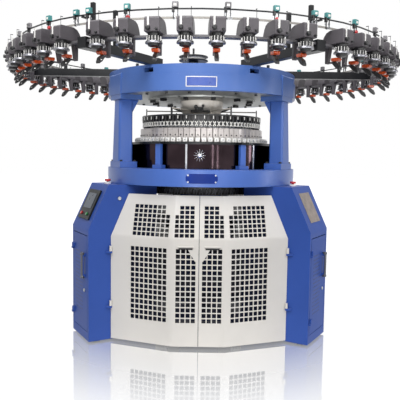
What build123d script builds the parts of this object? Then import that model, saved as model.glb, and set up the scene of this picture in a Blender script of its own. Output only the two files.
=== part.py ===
from build123d import *
from math import asin, atan2, cos, degrees, hypot, radians, sin
import os

# Large-diameter circular knitting machine, in millimetres, standing on z = 0.
# The origin is where the machine's vertical axis meets the floor, and the front is towards -Y.
# Pieces that lie along a radius are drawn along +X and then turned to their own angle.

# Angles around the machine, counted from +X
leg_angles = (210, 330, 90)
leg_names = ("left", "right", "rear")
arm_angles = (0, 60, 120, 180, 240, 300)

# Fits
running_clearance = 0.08
curved_gap = 0.3
hidden_sides = 24
ring_sides = 48
shaft_sides = 12
pin_sides = 6
door_gap = 4.0

# Legs, each a welded cabinet
foot_height = 12.0
foot_radius = 45.0
foot_inset = 70.0
leg_outer = 1007.0
leg_inner = 480.0
leg_width = 366.0
leg_sheet = 8.0
leg_slope_start = 820.0
leg_top_outer = 857.0
leg_opening_margin = 28.0
leg_opening_bottom = 75.0
leg_opening_top = 775.0

# Bed, a hollow ring casting on the legs
bed_bottom = 1135.0
bed_height = 120.0
bed_radius = 743.0
bed_wall = 30.0
bed_top_plate = 30.0
bed_floor = 15.0
bed_opening = 470.0

# Base that ties the legs together near the floor
base_bottom = 40.0
base_thickness = 40.0
base_hub_radius = 200.0
base_arm_width = 160.0

# Columns between bed and crown
column_flange_height = 46.0
column_flange_inner = 602.0
column_flange_width = 200.0
column_bottom_depth = 112.0
column_bottom_width = 142.0
column_bottom_inner = 624.0
column_top_depth = 107.0
column_top_width = 108.0
column_top_inner = 617.0
column_bevel = 12.0
haunch_reach = 50.0
haunch_height = 110.0

# Crown, a ring casting carried by the columns
crown_seat = 1757.0
crown_block_width = 206.0
crown_block_height = 200.0
crown_flange_height = 36.0
crown_flange_inner = 562.0
crown_radius = 740.0
crown_beam_height = 113.0
crown_wall = 60.0
crown_step = 7.0
crown_top = 1974.0
crown_top_plate = 20.0
arm_notch_width = 76.0
arm_notch_depth = 50.0

# Machined plate under the crown, with the hub that holds the dial
under_plate_thickness = 18.0
under_plate_radius = 700.0
boss_radius = 430.0
boss_height = 12.0
boss_slot_count = 8
boss_slot_width = 16.0
boss_slot_depth = 8.0
boss_slot_length = 60.0
hub_top_radius = 171.0
hub_bottom_radius = 126.0
hub_straight = 24.0
hub_bottom = 1630.0

# Needle cylinder, its gear and what turns with it
cylinder_radius = 432.0
cylinder_bore = 415.0
cylinder_top = 1556.0
gear_teeth = 56
pinion_teeth = 7
gear_pitch_radius = 520.0
gear_height = 50.0
tooth_above = 6.0
tooth_below = 7.5

# Dial above the needle cylinder
dial_radius = 412.0
dial_height = 28.0
dial_bottom = 1560.0
dial_shaft_radius = 60.0
dial_flange_radius = 110.0
dial_cam_radius = 440.0
dial_cam_height = 30.0
dial_gear_bottom = 1866.0
dial_gear_height = 38.0

# Vertical drive shaft beside the rear column
belt_clearance = 8.0
drive_shaft_radius = 15.0
drive_shaft_bottom = 420.0
pulley_radius = 40.0
pulley_height = 30.0
pulley_level = 640.0
motor_radial = 800.0
motor_radius = 95.0
motor_height = 290.0
motor_shaft_radius = 14.0
motor_shelf_thickness = 12.0
belt_thickness = 5.0
drive_belt_height = 18.0

# Cylinder cover, saddle ring, posts and cams
cover_radius = 560.0
cover_wall = 12.0
cover_height = 177.0
saddle_height = 18.0
saddle_bore = 440.0
saddle_lug_reach = 640.0
saddle_lug_width = 66.0
post_radial = 600.0
post_size = 57.0
post_foot_length = 90.0
post_foot_width = 100.0
post_foot_height = 18.0
cam_count = 48
guide_count = 36
cam_radius = 487.0
cam_gap = 3.0
cam_height = 105.0
adjuster_height = 34.0
adjuster_inner = 498.0
adjuster_depth = 32.0
adjuster_width = 34.0

# Yarn guide ring
guide_ring_radius = 475.0
guide_ring_width = 20.0
guide_ring_height = 12.0
guide_ring_bottom = 1642.0
guide_width = 16.0
guide_bottom = 1578.0
guide_lean = 16.0
guide_rod_count = 6
guide_rod_size = 12.0

# Arms and ring that carry the yarn feeders
arm_size = 56.0
arm_inner = 600.0
arm_outer = 1322.0
ring_inner = 1340.0
ring_outer = 1400.0
ring_bottom = 2010.0
ring_thickness = 14.0
clamp_outer = 1410.0
clamp_width = 64.0
clamp_top = 2040.0

# Yarn feeders
feeders_per_bay = 8
feeder_pitch = 7.0
housing_inner = 1312.0
housing_outer = 1490.0
housing_width = 92.0
housing_height = 86.0
housing_top_inner = 1372.0
wheel_setback = 52.0
cage_radius = 31.0
cage_height = 36.0
wheel_radius = 46.0
wheel_height = 22.0
wheel_neck_radius = 26.0
wheel_neck_height = 16.0
stem_depth = 16.0
stem_width = 20.0
tip_radial = 1409.0
tip_depth = 18.0
tip_level = 1872.0
lamp_inner = 1332.0
lamp_width = 26.0
lamp_bottom = 1928.0
lamp_height = 22.0
belt_radial = 1395.0
belt_height = 12.0
belt_width = 4.0

# Upper hoop with the yarn stop motions
hoop_radius = 1400.0
hoop_width = 8.0
hoop_height = 8.0
hoop_bottom = 2160.0
hoop_post_size = 16.0
hoop_post_radial = 1307.0
hoop_post_top = 2205.0
hoop_bracket = 10.0
inner_post_radial = 1095.0
inner_post_top = 2185.0
stop_offsets = (-28.0, -17.5, -6.0, 6.0, 17.5, 28.0)
stop_depth = 30.0
stop_width = 34.0
stop_height = 34.0

# Take-down frame, which turns with the needle cylinder
takedown_ring_radius = 455.0
takedown_ring_bore = 405.0
takedown_ring_bottom = 1062.0
takedown_ring_top = 1126.0
takedown_ribs = 24
takedown_rib_depth = 12.0
neck_radius = 466.0
side_position = 385.0
side_thickness = 18.0
side_width = 190.0
side_bottom = 170.0
crossbar_size = 50.0
pivot_radius = 40.0
pivot_seat_radius = 90.0
draw_roller_radius = 32.0
draw_level = 560.0
cloth_roller_radius = 45.0
cloth_level = 330.0
journal_radius = 14.0
journal_length = 14.0
spreader_level = 800.0
spreader_radius = 12.0
spreader_half_width = 150.0

# Perforated gates that close the three bays between the legs
gate_bottom = 37.0
gate_fold = 768.0
gate_top = 1071.0
gate_sheet = 4.0
gate_front = 750.0
gate_flat = 188.0
gate_leg_radial = 841.0
gate_lean = 106.0
gate_seam = 4.0
window_bar = 11.0
outer_columns = 3
outer_start = 38.0
flat_columns = 2
flat_inset = 26.0
flat_length = 136.0
field_length = 284.0
upper_outer_columns = 2
upper_outer_start = 32.0
upper_flat_columns = 1
lower_window_bottom = 188.0
lower_window_top = 716.0
upper_window_bottom = 785.0
upper_window_top = 1004.0
hinge_levels = (262.0, 660.0)
hinge_pin_radius = 5.0
hinge_lug_height = 40.0
hinge_lug_width = 18.0
hinge_seat_height = 14.0
hinge_offset = 15.0
grip_level = 724.0
grip_depth = 14.0
grip_height = 10.0
grip_length = 110.0

# Cabinet doors in the legs' outer faces
cabinet_hinge_offset = 9.0
cabinet_hinge_lug = 30.0
cabinet_hinge_inset = 90.0
handle_length = 170.0
handle_depth = 18.0
handle_width = 20.0
handle_level = 470.0

# Control panel, plates and stop buttons
panel_width = 230.0
panel_length = 230.0
panel_thickness = 14.0
panel_centre = 0.52
screen_width = 160.0
screen_length = 118.0
screen_thickness = 3.0
screen_shift = 26.0
button_radius = 12.0
button_height = 12.0
button_seat = 5.0
button_travel = 3.0
button_spacing = 58.0
button_shift = -78.0
plate_thickness = 3.0
slope_plate_width = 200.0
stop_collar_radius = 26.0
stop_collar_height = 14.0
stop_button_radius = 22.0
stop_button_height = 16.0
stop_stem_radius = 9.0
stop_button_travel = 5.0
stop_button_radial = 800.0
stop_button_side = 10.0

# Quality pulley on the crown, which drives the feeder belt
quality_x = -70.0
quality_radius = 116.0
quality_stand_radius = 40.0
quality_stand_height = 126.0
quality_foot_height = 14.0
quality_seat_depth = 60.0
quality_disc_height = 10.0
quality_groove = 20.0
quality_core_radius = 88.0
quality_shaft_radius = 8.0
quality_shaft_top = 2205.0

# Contents of the leg cabinets
gear_plate_thickness = 6.0
drive_unit_size = (110.0, 150.0, 260.0)
contactor_size = (70.0, 50.0, 80.0)
contactor_count = 4
drive_unit_level = 440.0
contactor_level = 260.0
oil_tank_size = (180.0, 220.0, 240.0)
oil_cap_radius = 30.0
oil_cap_height = 20.0

# Worked out from the sizes above
bed_top = bed_bottom + bed_height
column_foot = bed_top + column_flange_height
crown_beam_bottom = crown_seat + crown_flange_height
crown_step_level = crown_beam_bottom + crown_beam_height
plate_top = crown_beam_bottom + under_plate_thickness
boss_bottom = crown_beam_bottom - boss_height
gear_bottom = bed_bottom + bed_floor + curved_gap
gear_top = gear_bottom + gear_height
pinion_pitch_radius = gear_pitch_radius * pinion_teeth / gear_teeth
drive_radial = gear_pitch_radius + pinion_pitch_radius
drive_side = leg_width / 2 - leg_sheet - pulley_radius - belt_thickness - curved_gap - belt_clearance
drive_angle = leg_angles[2] - degrees(asin(drive_side / drive_radial))
drive_x = drive_radial * cos(radians(drive_angle))
drive_y = drive_radial * sin(radians(drive_angle))
cover_top = bed_top + cover_height
saddle_top = cover_top + saddle_height
cam_bottom = saddle_top
guide_ring_top = guide_ring_bottom + guide_ring_height
arm_bottom = crown_top
arm_top = arm_bottom + arm_size
housing_bottom = ring_bottom + ring_thickness
wheel_radial = housing_outer - wheel_setback
housing_top = housing_bottom + housing_height
cage_bottom = housing_bottom - cage_height
wheel_bottom = cage_bottom - wheel_height
slope_angle = degrees(atan2(leg_outer - leg_top_outer, bed_bottom - leg_slope_start))
slope_length = hypot(leg_outer - leg_top_outer, bed_bottom - leg_slope_start)

os.makedirs("parts", exist_ok=True)


def save(name, *solids):
    """Writes one node, which may be a group of separate solids."""
    flat = [s for item in solids for s in item.solids()]
    shape = flat[0] if len(flat) == 1 else Compound(children=flat)
    shape.label = name
    export_step(shape, f"parts/{name}.step")


def turned(shape, angle):
    return shape.rotate(Axis.Z, angle)


def block(x0, x1, y0, y1, z0, z1):
    return Pos((x0 + x1) / 2, (y0 + y1) / 2, (z0 + z1) / 2) * Box(x1 - x0, y1 - y0, z1 - z0)


def rod(radius, z0, z1, x=0.0, y=0.0):
    return Pos(x, y, (z0 + z1) / 2) * Cylinder(radius, z1 - z0)


def revolved(*profile):
    """Turns a closed (radius, height) outline around the machine's axis."""
    return revolve(Plane.XZ * make_face(Polyline(*profile, close=True)), Axis.Z)




def slab(width, *profile):
    """Extrudes a closed (radius, height) outline to both sides of a radius."""
    return extrude(Plane.XZ * make_face(Polyline(*profile, close=True)), width / 2, both=True)


def prism(radius, sides, z0, z1, x=0.0, y=0.0):
    """A round piece drawn with flat sides: its edges run on the given radius."""
    return Pos(x, y, z0) * extrude(RegularPolygon(radius, sides), z1 - z0)


def tapered(radius, top_radius, sides, height):
    """A prism on z = 0 whose edges lean from one radius to another at its top."""
    inset = (radius - top_radius) * cos(radians(180 / sides))
    return extrude(RegularPolygon(radius, sides), height, taper=degrees(atan2(inset, height)))


def prism_hole(radius, sides, z0, z1, x=0.0, y=0.0):
    """The hole for such a piece: its flats stay outside the given radius, opposite the edges."""
    half = 180 / sides
    outline = RegularPolygon(radius / cos(radians(half)), sides, rotation=half)
    return Pos(x, y, z0) * extrude(outline, z1 - z0)


def toothed(pitch_radius, teeth, z0, z1, first_tooth):
    """A spur gear with pointed teeth and straight flanks."""
    step = 360 / teeth
    outline = []
    for k in range(teeth):
        middle = first_tooth + k * step
        for radius, angle in (
            (pitch_radius - tooth_below, middle - step / 2),
            (pitch_radius + tooth_above, middle),
        ):
            outline.append((radius * cos(radians(angle)), radius * sin(radians(angle))))
    return Pos(0, 0, z0) * extrude(make_face(Polyline(*outline, close=True)), z1 - z0)


def on_slope(along, side=0.0, out=0.0):
    """A point and direction on a leg's sloped face: along runs up the slope from its lower edge."""
    lean = radians(slope_angle)
    x = leg_outer - along * sin(lean) + out * cos(lean)
    z = leg_slope_start + along * cos(lean) + out * sin(lean)
    return Plane(origin=(x, side, z), x_dir=(0, 1, 0), z_dir=(cos(lean), 0, sin(lean)))


# Legs: welded sheet cabinets with a sloped shoulder and a door opening in the outer face
def leg_outline(inset):
    lean = radians(slope_angle)
    knee = inset * (1 - sin(lean)) / cos(lean)
    return (
        (leg_inner + inset, foot_height + inset),
        (leg_outer - inset, foot_height + inset),
        (leg_outer - inset, leg_slope_start - knee * sin(lean)),
        (leg_top_outer - knee, bed_bottom - inset),
        (leg_inner + inset, bed_bottom - inset),
    )


foot_spots = [
    (radial, side * (leg_width / 2 - foot_inset))
    for radial in (leg_inner + foot_inset, leg_outer - foot_inset)
    for side in (-1, 1)
]
opening_half = leg_width / 2 - leg_opening_margin


def leg_shell():
    shell = slab(leg_width, *leg_outline(0)) - slab(leg_width - 2 * leg_sheet, *leg_outline(leg_sheet))
    shell -= block(
        leg_outer - 2 * leg_sheet, leg_outer + leg_sheet,
        -opening_half, opening_half,
        leg_opening_bottom, leg_opening_top,
    )
    return shell


inner_half = leg_width / 2 - leg_sheet
motor_bottom = pulley_level - motor_height - 2 * motor_shelf_thickness
motor_shelf = block(
    leg_inner + leg_sheet, motor_radial + motor_radius,
    -inner_half, inner_half,
    motor_bottom - motor_shelf_thickness, motor_bottom,
)
left, right, rear = leg_angles
rear_leg = turned(leg_shell() + motor_shelf, rear)
rear_leg -= prism_hole(
    drive_shaft_radius + 1, shaft_sides, bed_bottom - 2 * leg_sheet, bed_bottom + 1, drive_x, drive_y
)
save("legs", turned(leg_shell(), left), turned(leg_shell(), right), rear_leg)

feet = []
for angle in leg_angles:
    for x, y in foot_spots:
        feet.append(turned(prism(foot_radius, pin_sides, 0, foot_height, x, y), angle))
save("levelling_feet", *feet)

# Base spider: a hub and three flat arms that meet the inner faces of the legs
base_top = base_bottom + base_thickness
base = prism(base_hub_radius, hidden_sides, base_bottom, base_top)
for angle in leg_angles:
    arm = block(0, leg_inner, -base_arm_width / 2, base_arm_width / 2, base_bottom, base_top)
    base += turned(arm, angle)
base -= prism_hole(
    pivot_radius + running_clearance, shaft_sides, base_bottom + base_thickness / 2, base_top + 1
)
save("base_spider", base)

# Bed: top plate, outer wall and floor in one ring casting, open at its middle and hollow for the gear
bed = rod(bed_radius, bed_bottom, bed_top)
bed -= prism(bed_radius - bed_wall, hidden_sides, bed_bottom + bed_floor, bed_top - bed_top_plate)
bed -= prism(bed_opening, hidden_sides, bed_top - bed_top_plate - 1, bed_top + 1)
bed -= prism_hole(leg_inner, hidden_sides, bed_bottom - 1, bed_bottom + bed_floor + 1)
bed -= prism_hole(
    drive_shaft_radius + running_clearance, shaft_sides, bed_bottom - 1, bed_top + 1, drive_x, drive_y
)
save("bed", bed)


# Columns: cast, with a foot flange, a bevelled taper and a haunch under the crown
def column():
    bottom_middle = column_bottom_inner + column_bottom_depth / 2
    top_middle = column_top_inner + column_top_depth / 2
    shaft = loft(
        [
            Pos(bottom_middle, 0, column_foot)
            * chamfer(Rectangle(column_bottom_depth, column_bottom_width).vertices(), column_bevel),
            Pos(top_middle, 0, crown_seat)
            * chamfer(Rectangle(column_top_depth, column_top_width).vertices(), column_bevel),
        ],
        ruled=True,
    )
    foot = block(
        column_flange_inner, bed_radius - 4,
        -column_flange_width / 2, column_flange_width / 2,
        bed_top, column_foot,
    )
    haunch = slab(
        column_top_width - 2 * column_bevel,
        (column_top_inner + column_bevel, crown_seat - haunch_height),
        (column_top_inner + 2 * column_bevel, crown_seat),
        (column_top_inner - haunch_reach, crown_seat),
    )
    return foot + shaft + haunch


save("columns", *[turned(column(), angle) for angle in leg_angles])

# Crown: ring beam with a raised drum above a step, hollow for the dial gear, a block over each column
crown_inner = crown_radius - crown_wall
crown = revolved(
    (0, crown_beam_bottom),
    (crown_radius, crown_beam_bottom),
    (crown_radius, crown_step_level),
    (crown_radius - crown_step, crown_step_level),
    (crown_radius - crown_step, crown_top),
    (0, crown_top),
)
crown -= prism(under_plate_radius, hidden_sides, crown_beam_bottom - 1, plate_top)
crown -= prism(crown_inner, hidden_sides, plate_top - 1, crown_top - crown_top_plate)
for angle in leg_angles:
    half = crown_block_width / 2
    top = crown_seat + crown_block_height
    crown += turned(
        slab(
            crown_block_width,
            (under_plate_radius + 4, crown_beam_bottom),
            (crown_radius - 1, crown_beam_bottom),
            (crown_radius - 1, top - 2 * column_bevel),
            (crown_radius - 1 - 2 * column_bevel, top),
            (under_plate_radius + 4, top),
        ),
        angle,
    )
    crown += turned(
        block(
            crown_flange_inner, crown_radius - 5,
            -half + 5, half - 5,
            crown_seat, crown_beam_bottom,
        ),
        angle,
    )
for angle in arm_angles:
    crown -= turned(
        block(
            crown_inner - 20, crown_radius + 10,
            -arm_notch_width / 2, arm_notch_width / 2,
            crown_top - arm_notch_depth, crown_top - crown_top_plate,
        ),
        angle,
    )
save("crown", crown)

# Plate bolted up under the crown, with a notched boss
under_plate = prism(under_plate_radius - curved_gap, hidden_sides, crown_beam_bottom, plate_top)
under_plate += rod(boss_radius, boss_bottom, crown_beam_bottom)
for k in range(boss_slot_count):
    under_plate -= turned(
        block(
            boss_radius - boss_slot_length, boss_radius + 1,
            -boss_slot_width / 2, boss_slot_width / 2,
            boss_bottom - 1, boss_bottom + boss_slot_depth,
        ),
        (k + 0.5) * 360 / boss_slot_count,
    )
under_plate -= prism_hole(dial_shaft_radius + running_clearance, shaft_sides, boss_bottom - 1, plate_top + 1)
under_plate -= prism_hole(
    drive_shaft_radius + running_clearance, shaft_sides, boss_bottom - 1, plate_top + 1, drive_x, drive_y
)
save("crown_under_plate", under_plate)

# Hub with the dial's cam plate at its foot
hub_shoulder = boss_bottom - hub_straight
dial_hub = prism(dial_cam_radius, hidden_sides, hub_bottom - dial_cam_height, hub_bottom)
dial_hub += Pos(0, 0, hub_bottom) * tapered(
    hub_bottom_radius, hub_top_radius, hidden_sides, hub_shoulder - hub_bottom
)
dial_hub += prism(hub_top_radius, hidden_sides, hub_shoulder, boss_bottom)
for k in range(guide_rod_count):
    dial_hub += turned(
        block(
            hub_bottom_radius, guide_ring_radius - guide_ring_width / 2,
            -guide_rod_size / 2, guide_rod_size / 2,
            guide_ring_top, guide_ring_top + guide_rod_size,
        ),
        (k + 0.5) * 360 / guide_rod_count,
    )
dial_hub -= prism_hole(
    dial_shaft_radius + running_clearance, shaft_sides, hub_bottom - dial_cam_height - 1, boss_bottom + 1
)
save("dial_hub", dial_hub)

# Dial, and the gear on its shaft, which bolts to it
gear_phase = drive_angle
save("dial", prism(dial_radius, hidden_sides, dial_bottom, dial_bottom + dial_height))
dial_gear = toothed(
    gear_pitch_radius, gear_teeth, dial_gear_bottom, dial_gear_bottom + dial_gear_height, gear_phase
)
dial_gear += prism(dial_flange_radius, shaft_sides, plate_top + curved_gap, dial_gear_bottom)
dial_gear += prism(dial_shaft_radius, shaft_sides, dial_bottom + dial_height, plate_top + curved_gap)
save("dial_gear", dial_gear)

# Needle cylinder and its gear
save(
    "cylinder_gear",
    toothed(gear_pitch_radius, gear_teeth, gear_bottom, gear_top, gear_phase)
    - prism(cylinder_bore, hidden_sides, gear_bottom - 1, gear_top + 1),
)
cylinder = rod(cylinder_radius, gear_top, cylinder_top)
save("needle_cylinder", cylinder - prism(cylinder_bore, hidden_sides, gear_top - 1, cylinder_top + 1))

# Drive shaft with a pinion for the cylinder gear, one for the dial gear and a belt pulley
pinion_phase = drive_angle + 180 + 180 / pinion_teeth


def pinion(z0, z1):
    return Pos(drive_x, drive_y, 0) * toothed(pinion_pitch_radius, pinion_teeth, z0, z1, pinion_phase)


dial_gear_top = dial_gear_bottom + dial_gear_height
pulley_top = pulley_level + pulley_height
drive_shaft = prism(drive_shaft_radius, shaft_sides, drive_shaft_bottom, dial_gear_top, drive_x, drive_y)
drive_shaft += pinion(gear_bottom, gear_top)
drive_shaft += pinion(dial_gear_bottom, dial_gear_top)
drive_shaft += prism(pulley_radius, hidden_sides, pulley_level, pulley_top, drive_x, drive_y)
save("drive_shaft", drive_shaft)

# Geared motor on the shelf in the rear leg, its pulley and the toothed belt
motor = prism(motor_radius, hidden_sides, motor_bottom, motor_bottom + motor_height, 0, motor_radial)
motor += block(
    -motor_radius * 0.6, motor_radius * 0.6,
    motor_radial + motor_radius * 0.7, motor_radial + motor_radius * 1.3,
    motor_bottom + motor_height * 0.3, motor_bottom + motor_height * 0.7,
)
motor -= prism_hole(
    motor_shaft_radius + running_clearance, shaft_sides,
    motor_bottom + motor_height / 2, pulley_level, 0, motor_radial,
)
save("motor", motor)
save(
    "motor_pulley",
    prism(
        motor_shaft_radius, shaft_sides, motor_bottom + motor_height / 2 + 1, pulley_level, 0, motor_radial
    )
    + prism(pulley_radius, hidden_sides, pulley_level, pulley_top, 0, motor_radial),
)


def belt_loop(radius):
    """Outline of the belt around both pulleys, in short straight pieces."""
    run = atan2(motor_radial - drive_y, -drive_x)
    turns = [run + radians(90) + radians(22.5) * k for k in range(9)]
    points = [(drive_x + radius * cos(t), drive_y + radius * sin(t)) for t in turns]
    points += [(-radius * cos(t), motor_radial - radius * sin(t)) for t in turns]
    return make_face(Polyline(*points, close=True))


belt_inner = (pulley_radius + curved_gap) / cos(radians(22.5 / 2))
drive_belt = extrude(belt_loop(belt_inner + belt_thickness), drive_belt_height)
drive_belt -= extrude(belt_loop(belt_inner), drive_belt_height)
save("drive_belt", Pos(0, 0, pulley_level + (pulley_height - drive_belt_height) / 2) * drive_belt)

# Cover around the cylinder, the saddle ring on it and the posts beside it
cover = rod(cover_radius, bed_top, cover_top)
cover -= prism(cover_radius - cover_wall, hidden_sides, bed_top - 1, cover_top + 1)
save("cylinder_cover", cover)
saddle = rod(cover_radius, cover_top, saddle_top)
posts = []
for angle in arm_angles:
    saddle += turned(
        block(
            cover_radius - 10, saddle_lug_reach,
            -saddle_lug_width / 2, saddle_lug_width / 2,
            cover_top, saddle_top,
        ),
        angle,
    )
    foot_middle = cover_radius + 5 + post_foot_length / 2
    post = block(
        foot_middle - post_foot_length / 2, foot_middle + post_foot_length / 2,
        -post_foot_width / 2, post_foot_width / 2,
        bed_top, bed_top + post_foot_height,
    )
    post += block(
        post_radial - post_size / 2, post_radial + post_size / 2,
        -post_size / 2, post_size / 2,
        bed_top + post_foot_height, cover_top,
    )
    posts.append(turned(post, angle))
saddle -= prism(saddle_bore, hidden_sides, cover_top - 1, saddle_top + 1)
save("saddle_ring", saddle)
save("saddle_posts", *posts)

# Cam boxes on the saddle ring, and a stitch adjuster under each
cam_width = 2 * saddle_bore * sin(radians(180 / cam_count)) - cam_gap
cam_boxes = []
adjusters = []
guides = []
for k in range(cam_count):
    angle = (k + 0.5) * 360 / cam_count
    cam_boxes.append(
        turned(
            slab(
                cam_width,
                (saddle_bore + 3, cam_bottom),
                (cam_radius, cam_bottom),
                (cam_radius, cam_bottom + cam_height),
                (saddle_bore + 3, cam_bottom + cam_height),
            ),
            angle,
        )
    )
    adjusters.append(
        turned(
            block(
                adjuster_inner, adjuster_inner + adjuster_depth,
                -adjuster_width / 2, adjuster_width / 2,
                saddle_top, saddle_top + adjuster_height,
            ),
            angle,
        )
    )
for k in range(guide_count):
    guides.append(
        turned(
            slab(
                guide_width,
                (guide_ring_radius - guide_ring_width + 2, guide_ring_bottom),
                (guide_ring_radius - 4, guide_ring_bottom),
                (guide_ring_radius - guide_lean, guide_bottom),
                (guide_ring_radius - guide_lean - 6, guide_bottom),
            ),
            (k + 0.5) * 360 / guide_count,
        )
    )
save("cam_boxes", *cam_boxes)
save("stitch_adjusters", *adjusters)

# Ring that holds the yarn guides, under the rods from the hub
guide_ring = prism(guide_ring_radius, guide_count, guide_ring_bottom, guide_ring_top)
guide_ring -= prism(
    guide_ring_radius - guide_ring_width, guide_count, guide_ring_bottom - 1, guide_ring_top + 1
)
save("yarn_guide_ring", guide_ring, *guides)

# Square arms from the crown out to the feeder ring, each with a clamp block at its end
arms = []
clamps = []
clamp_slot = block(
    ring_inner - 2 * curved_gap, ring_outer + curved_gap,
    -clamp_width, clamp_width,
    ring_bottom, ring_bottom + ring_thickness,
)
hoop_posts = []
for angle in arm_angles:
    arm = block(arm_inner, arm_outer, -arm_size / 2, arm_size / 2, arm_bottom, arm_top)
    arms.append(turned(arm, angle))
    clamp = block(arm_outer, clamp_outer, -clamp_width / 2, clamp_width / 2, arm_bottom, clamp_top)
    clamps.append(turned(clamp - clamp_slot, angle))
    half = hoop_post_size / 2
    outer_post = block(
        hoop_post_radial - half, hoop_post_radial + half, -half, half, arm_top, hoop_post_top
    )
    outer_post += block(
        hoop_post_radial, hoop_radius + hoop_width / 2,
        -half, half,
        hoop_bottom - hoop_bracket, hoop_bottom,
    )
    hoop_posts.append(turned(outer_post, angle))
    inner_post = block(
        inner_post_radial - half, inner_post_radial + half, -half, half, arm_top, inner_post_top
    )
    hoop_posts.append(turned(inner_post, angle))
save("feeder_arms", *arms)
save("arm_clamps", *clamps)
save("hoop_posts", *hoop_posts)
feeder_ring = prism(ring_outer, ring_sides, ring_bottom, ring_bottom + ring_thickness)
feeder_ring -= prism_hole(ring_inner, ring_sides, ring_bottom - 1, ring_bottom + ring_thickness + 1)
save("feeder_ring", feeder_ring)

# Yarn feeders: housing on the ring, yarn wheel under it, guide arm, lamp and tension knob
housings = []
wheels = []
guide_arms = []
lamps = []
stem_inner = housing_inner + 2


def stem_back(level):
    """Radius of the guide arm's inner face at a height."""
    share = (housing_bottom - level) / (housing_bottom - tip_level)
    return stem_inner + share * (tip_radial - tip_depth / 2 - stem_inner)


for bay in arm_angles:
    for k in range(feeders_per_bay):
        angle = bay + 30 + (k - (feeders_per_bay - 1) / 2) * feeder_pitch
        housings.append(
            turned(
                slab(
                    housing_width,
                    (housing_inner, housing_bottom),
                    (housing_outer, housing_bottom),
                    (housing_outer, housing_top),
                    (housing_top_inner, housing_top),
                ),
                angle,
            )
        )
        wheel = Pos(wheel_radial, 0, wheel_bottom) * tapered(
            wheel_radius, cage_radius, pin_sides, housing_bottom - wheel_bottom
        )
        wheels.append(turned(wheel, angle))
        guide_arms.append(
            turned(
                slab(
                    stem_width,
                    (stem_inner, housing_bottom),
                    (stem_inner + stem_depth, housing_bottom),
                    (tip_radial + tip_depth / 2, tip_level),
                    (tip_radial - tip_depth / 2, tip_level),
                ),
                angle,
            )
        )
        lamps.append(
            turned(
                slab(
                    lamp_width,
                    (lamp_inner, lamp_bottom),
                    (stem_back(lamp_bottom), lamp_bottom),
                    (stem_back(lamp_bottom + lamp_height), lamp_bottom + lamp_height),
                    (lamp_inner, lamp_bottom + lamp_height),
                ),
                angle,
            )
        )
save("feeder_housings", *housings)
save("feeder_wheels", *wheels)
save("feeder_guide_arms", *guide_arms)
save("feeder_lamps", *lamps)

# Toothed tape that drives the feeders: straight from one feeder to the next
feeder_angles = [
    bay + 30 + (k - (feeders_per_bay - 1) / 2) * feeder_pitch
    for bay in arm_angles
    for k in range(feeders_per_bay)
]


def tape_outline(radius):
    points = [(radius * cos(radians(a)), radius * sin(radians(a))) for a in feeder_angles[::2]]
    return make_face(Polyline(*points, close=True))


tape = extrude(tape_outline(belt_radial + belt_width / 2), belt_height)
tape -= extrude(tape_outline(belt_radial - belt_width / 2), belt_height)
save("feeder_tape", Pos(0, 0, housing_top) * tape)

# Upper hoop and the stop motions on it
hoop = prism(hoop_radius + hoop_width / 2, ring_sides, hoop_bottom, hoop_bottom + hoop_height)
hoop -= prism(hoop_radius - hoop_width / 2, ring_sides, hoop_bottom - 1, hoop_bottom + hoop_height + 1)
save("upper_hoop", hoop)
save(
    "stop_motions",
    *[
        turned(
            block(
                hoop_radius - stop_depth / 2, hoop_radius + stop_depth / 2,
                -stop_width / 2, stop_width / 2,
                hoop_bottom + hoop_height, hoop_bottom + hoop_height + stop_height,
            ),
            bay + 30 + offset,
        )
        for bay in arm_angles
        for offset in stop_offsets
    ],
)

# Quality pulley: a stand on the crown and two discs with a groove for the tape
stand_top = crown_top + quality_stand_height
foot_top = crown_top + quality_foot_height
seat_bottom = stand_top - quality_seat_depth
stand = prism(quality_stand_radius * 1.6, shaft_sides, crown_top, foot_top, quality_x)
stand += prism(quality_stand_radius, shaft_sides, foot_top, stand_top, quality_x)
stand -= prism_hole(
    quality_shaft_radius + running_clearance, pin_sides, seat_bottom, stand_top + 1, quality_x
)
save("quality_stand", stand)
disc_bottom = stand_top + curved_gap
core_bottom = disc_bottom + quality_disc_height
core_top = core_bottom + quality_groove
quality = prism(quality_shaft_radius, pin_sides, seat_bottom + curved_gap, quality_shaft_top, quality_x)
quality += prism(quality_radius, hidden_sides, disc_bottom, core_bottom, quality_x)
quality += prism(quality_core_radius, shaft_sides, core_bottom, core_top, quality_x)
quality += prism(quality_radius, hidden_sides, core_top, core_top + quality_disc_height, quality_x)
save("quality_pulley", quality)


# Take-down frame: ribbed ring bolted under the cylinder gear, two side plates and their bars
def ribbed(radius, count, depth, z0, z1):
    step = 180 / count
    outline = [
        (
            (radius - depth * (k % 2)) * cos(radians(k * step)),
            (radius - depth * (k % 2)) * sin(radians(k * step)),
        )
        for k in range(2 * count)
    ]
    return Pos(0, 0, z0) * extrude(make_face(Polyline(*outline, close=True)), z1 - z0)


takedown_ring = ribbed(
    takedown_ring_radius, takedown_ribs, takedown_rib_depth, takedown_ring_bottom, takedown_ring_top
)
takedown_ring += prism(neck_radius, hidden_sides, takedown_ring_top, gear_bottom)
takedown_ring -= prism(takedown_ring_bore, hidden_sides, takedown_ring_bottom - 1, gear_bottom + 1)
save("takedown_ring", takedown_ring)

frame_levels = (draw_level, draw_level + 2 * draw_roller_radius + 1, cloth_level)
half_bar = crossbar_size / 2
frame = block(-side_position, side_position, -half_bar, half_bar, side_bottom, side_bottom + crossbar_size)
frame += prism(pivot_seat_radius, shaft_sides, base_top + curved_gap, side_bottom)
frame += prism(pivot_radius, shaft_sides, base_top - base_thickness / 2 + 1, base_top + curved_gap)


def along_x(sides, radius, half_length, level, hole=False):
    """A bar or a hole for one, lying across the frame."""
    make = prism_hole if hole else prism
    return Pos(0, 0, level) * Rot(0, 90, 0) * make(radius, sides, -half_length, half_length)


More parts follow.
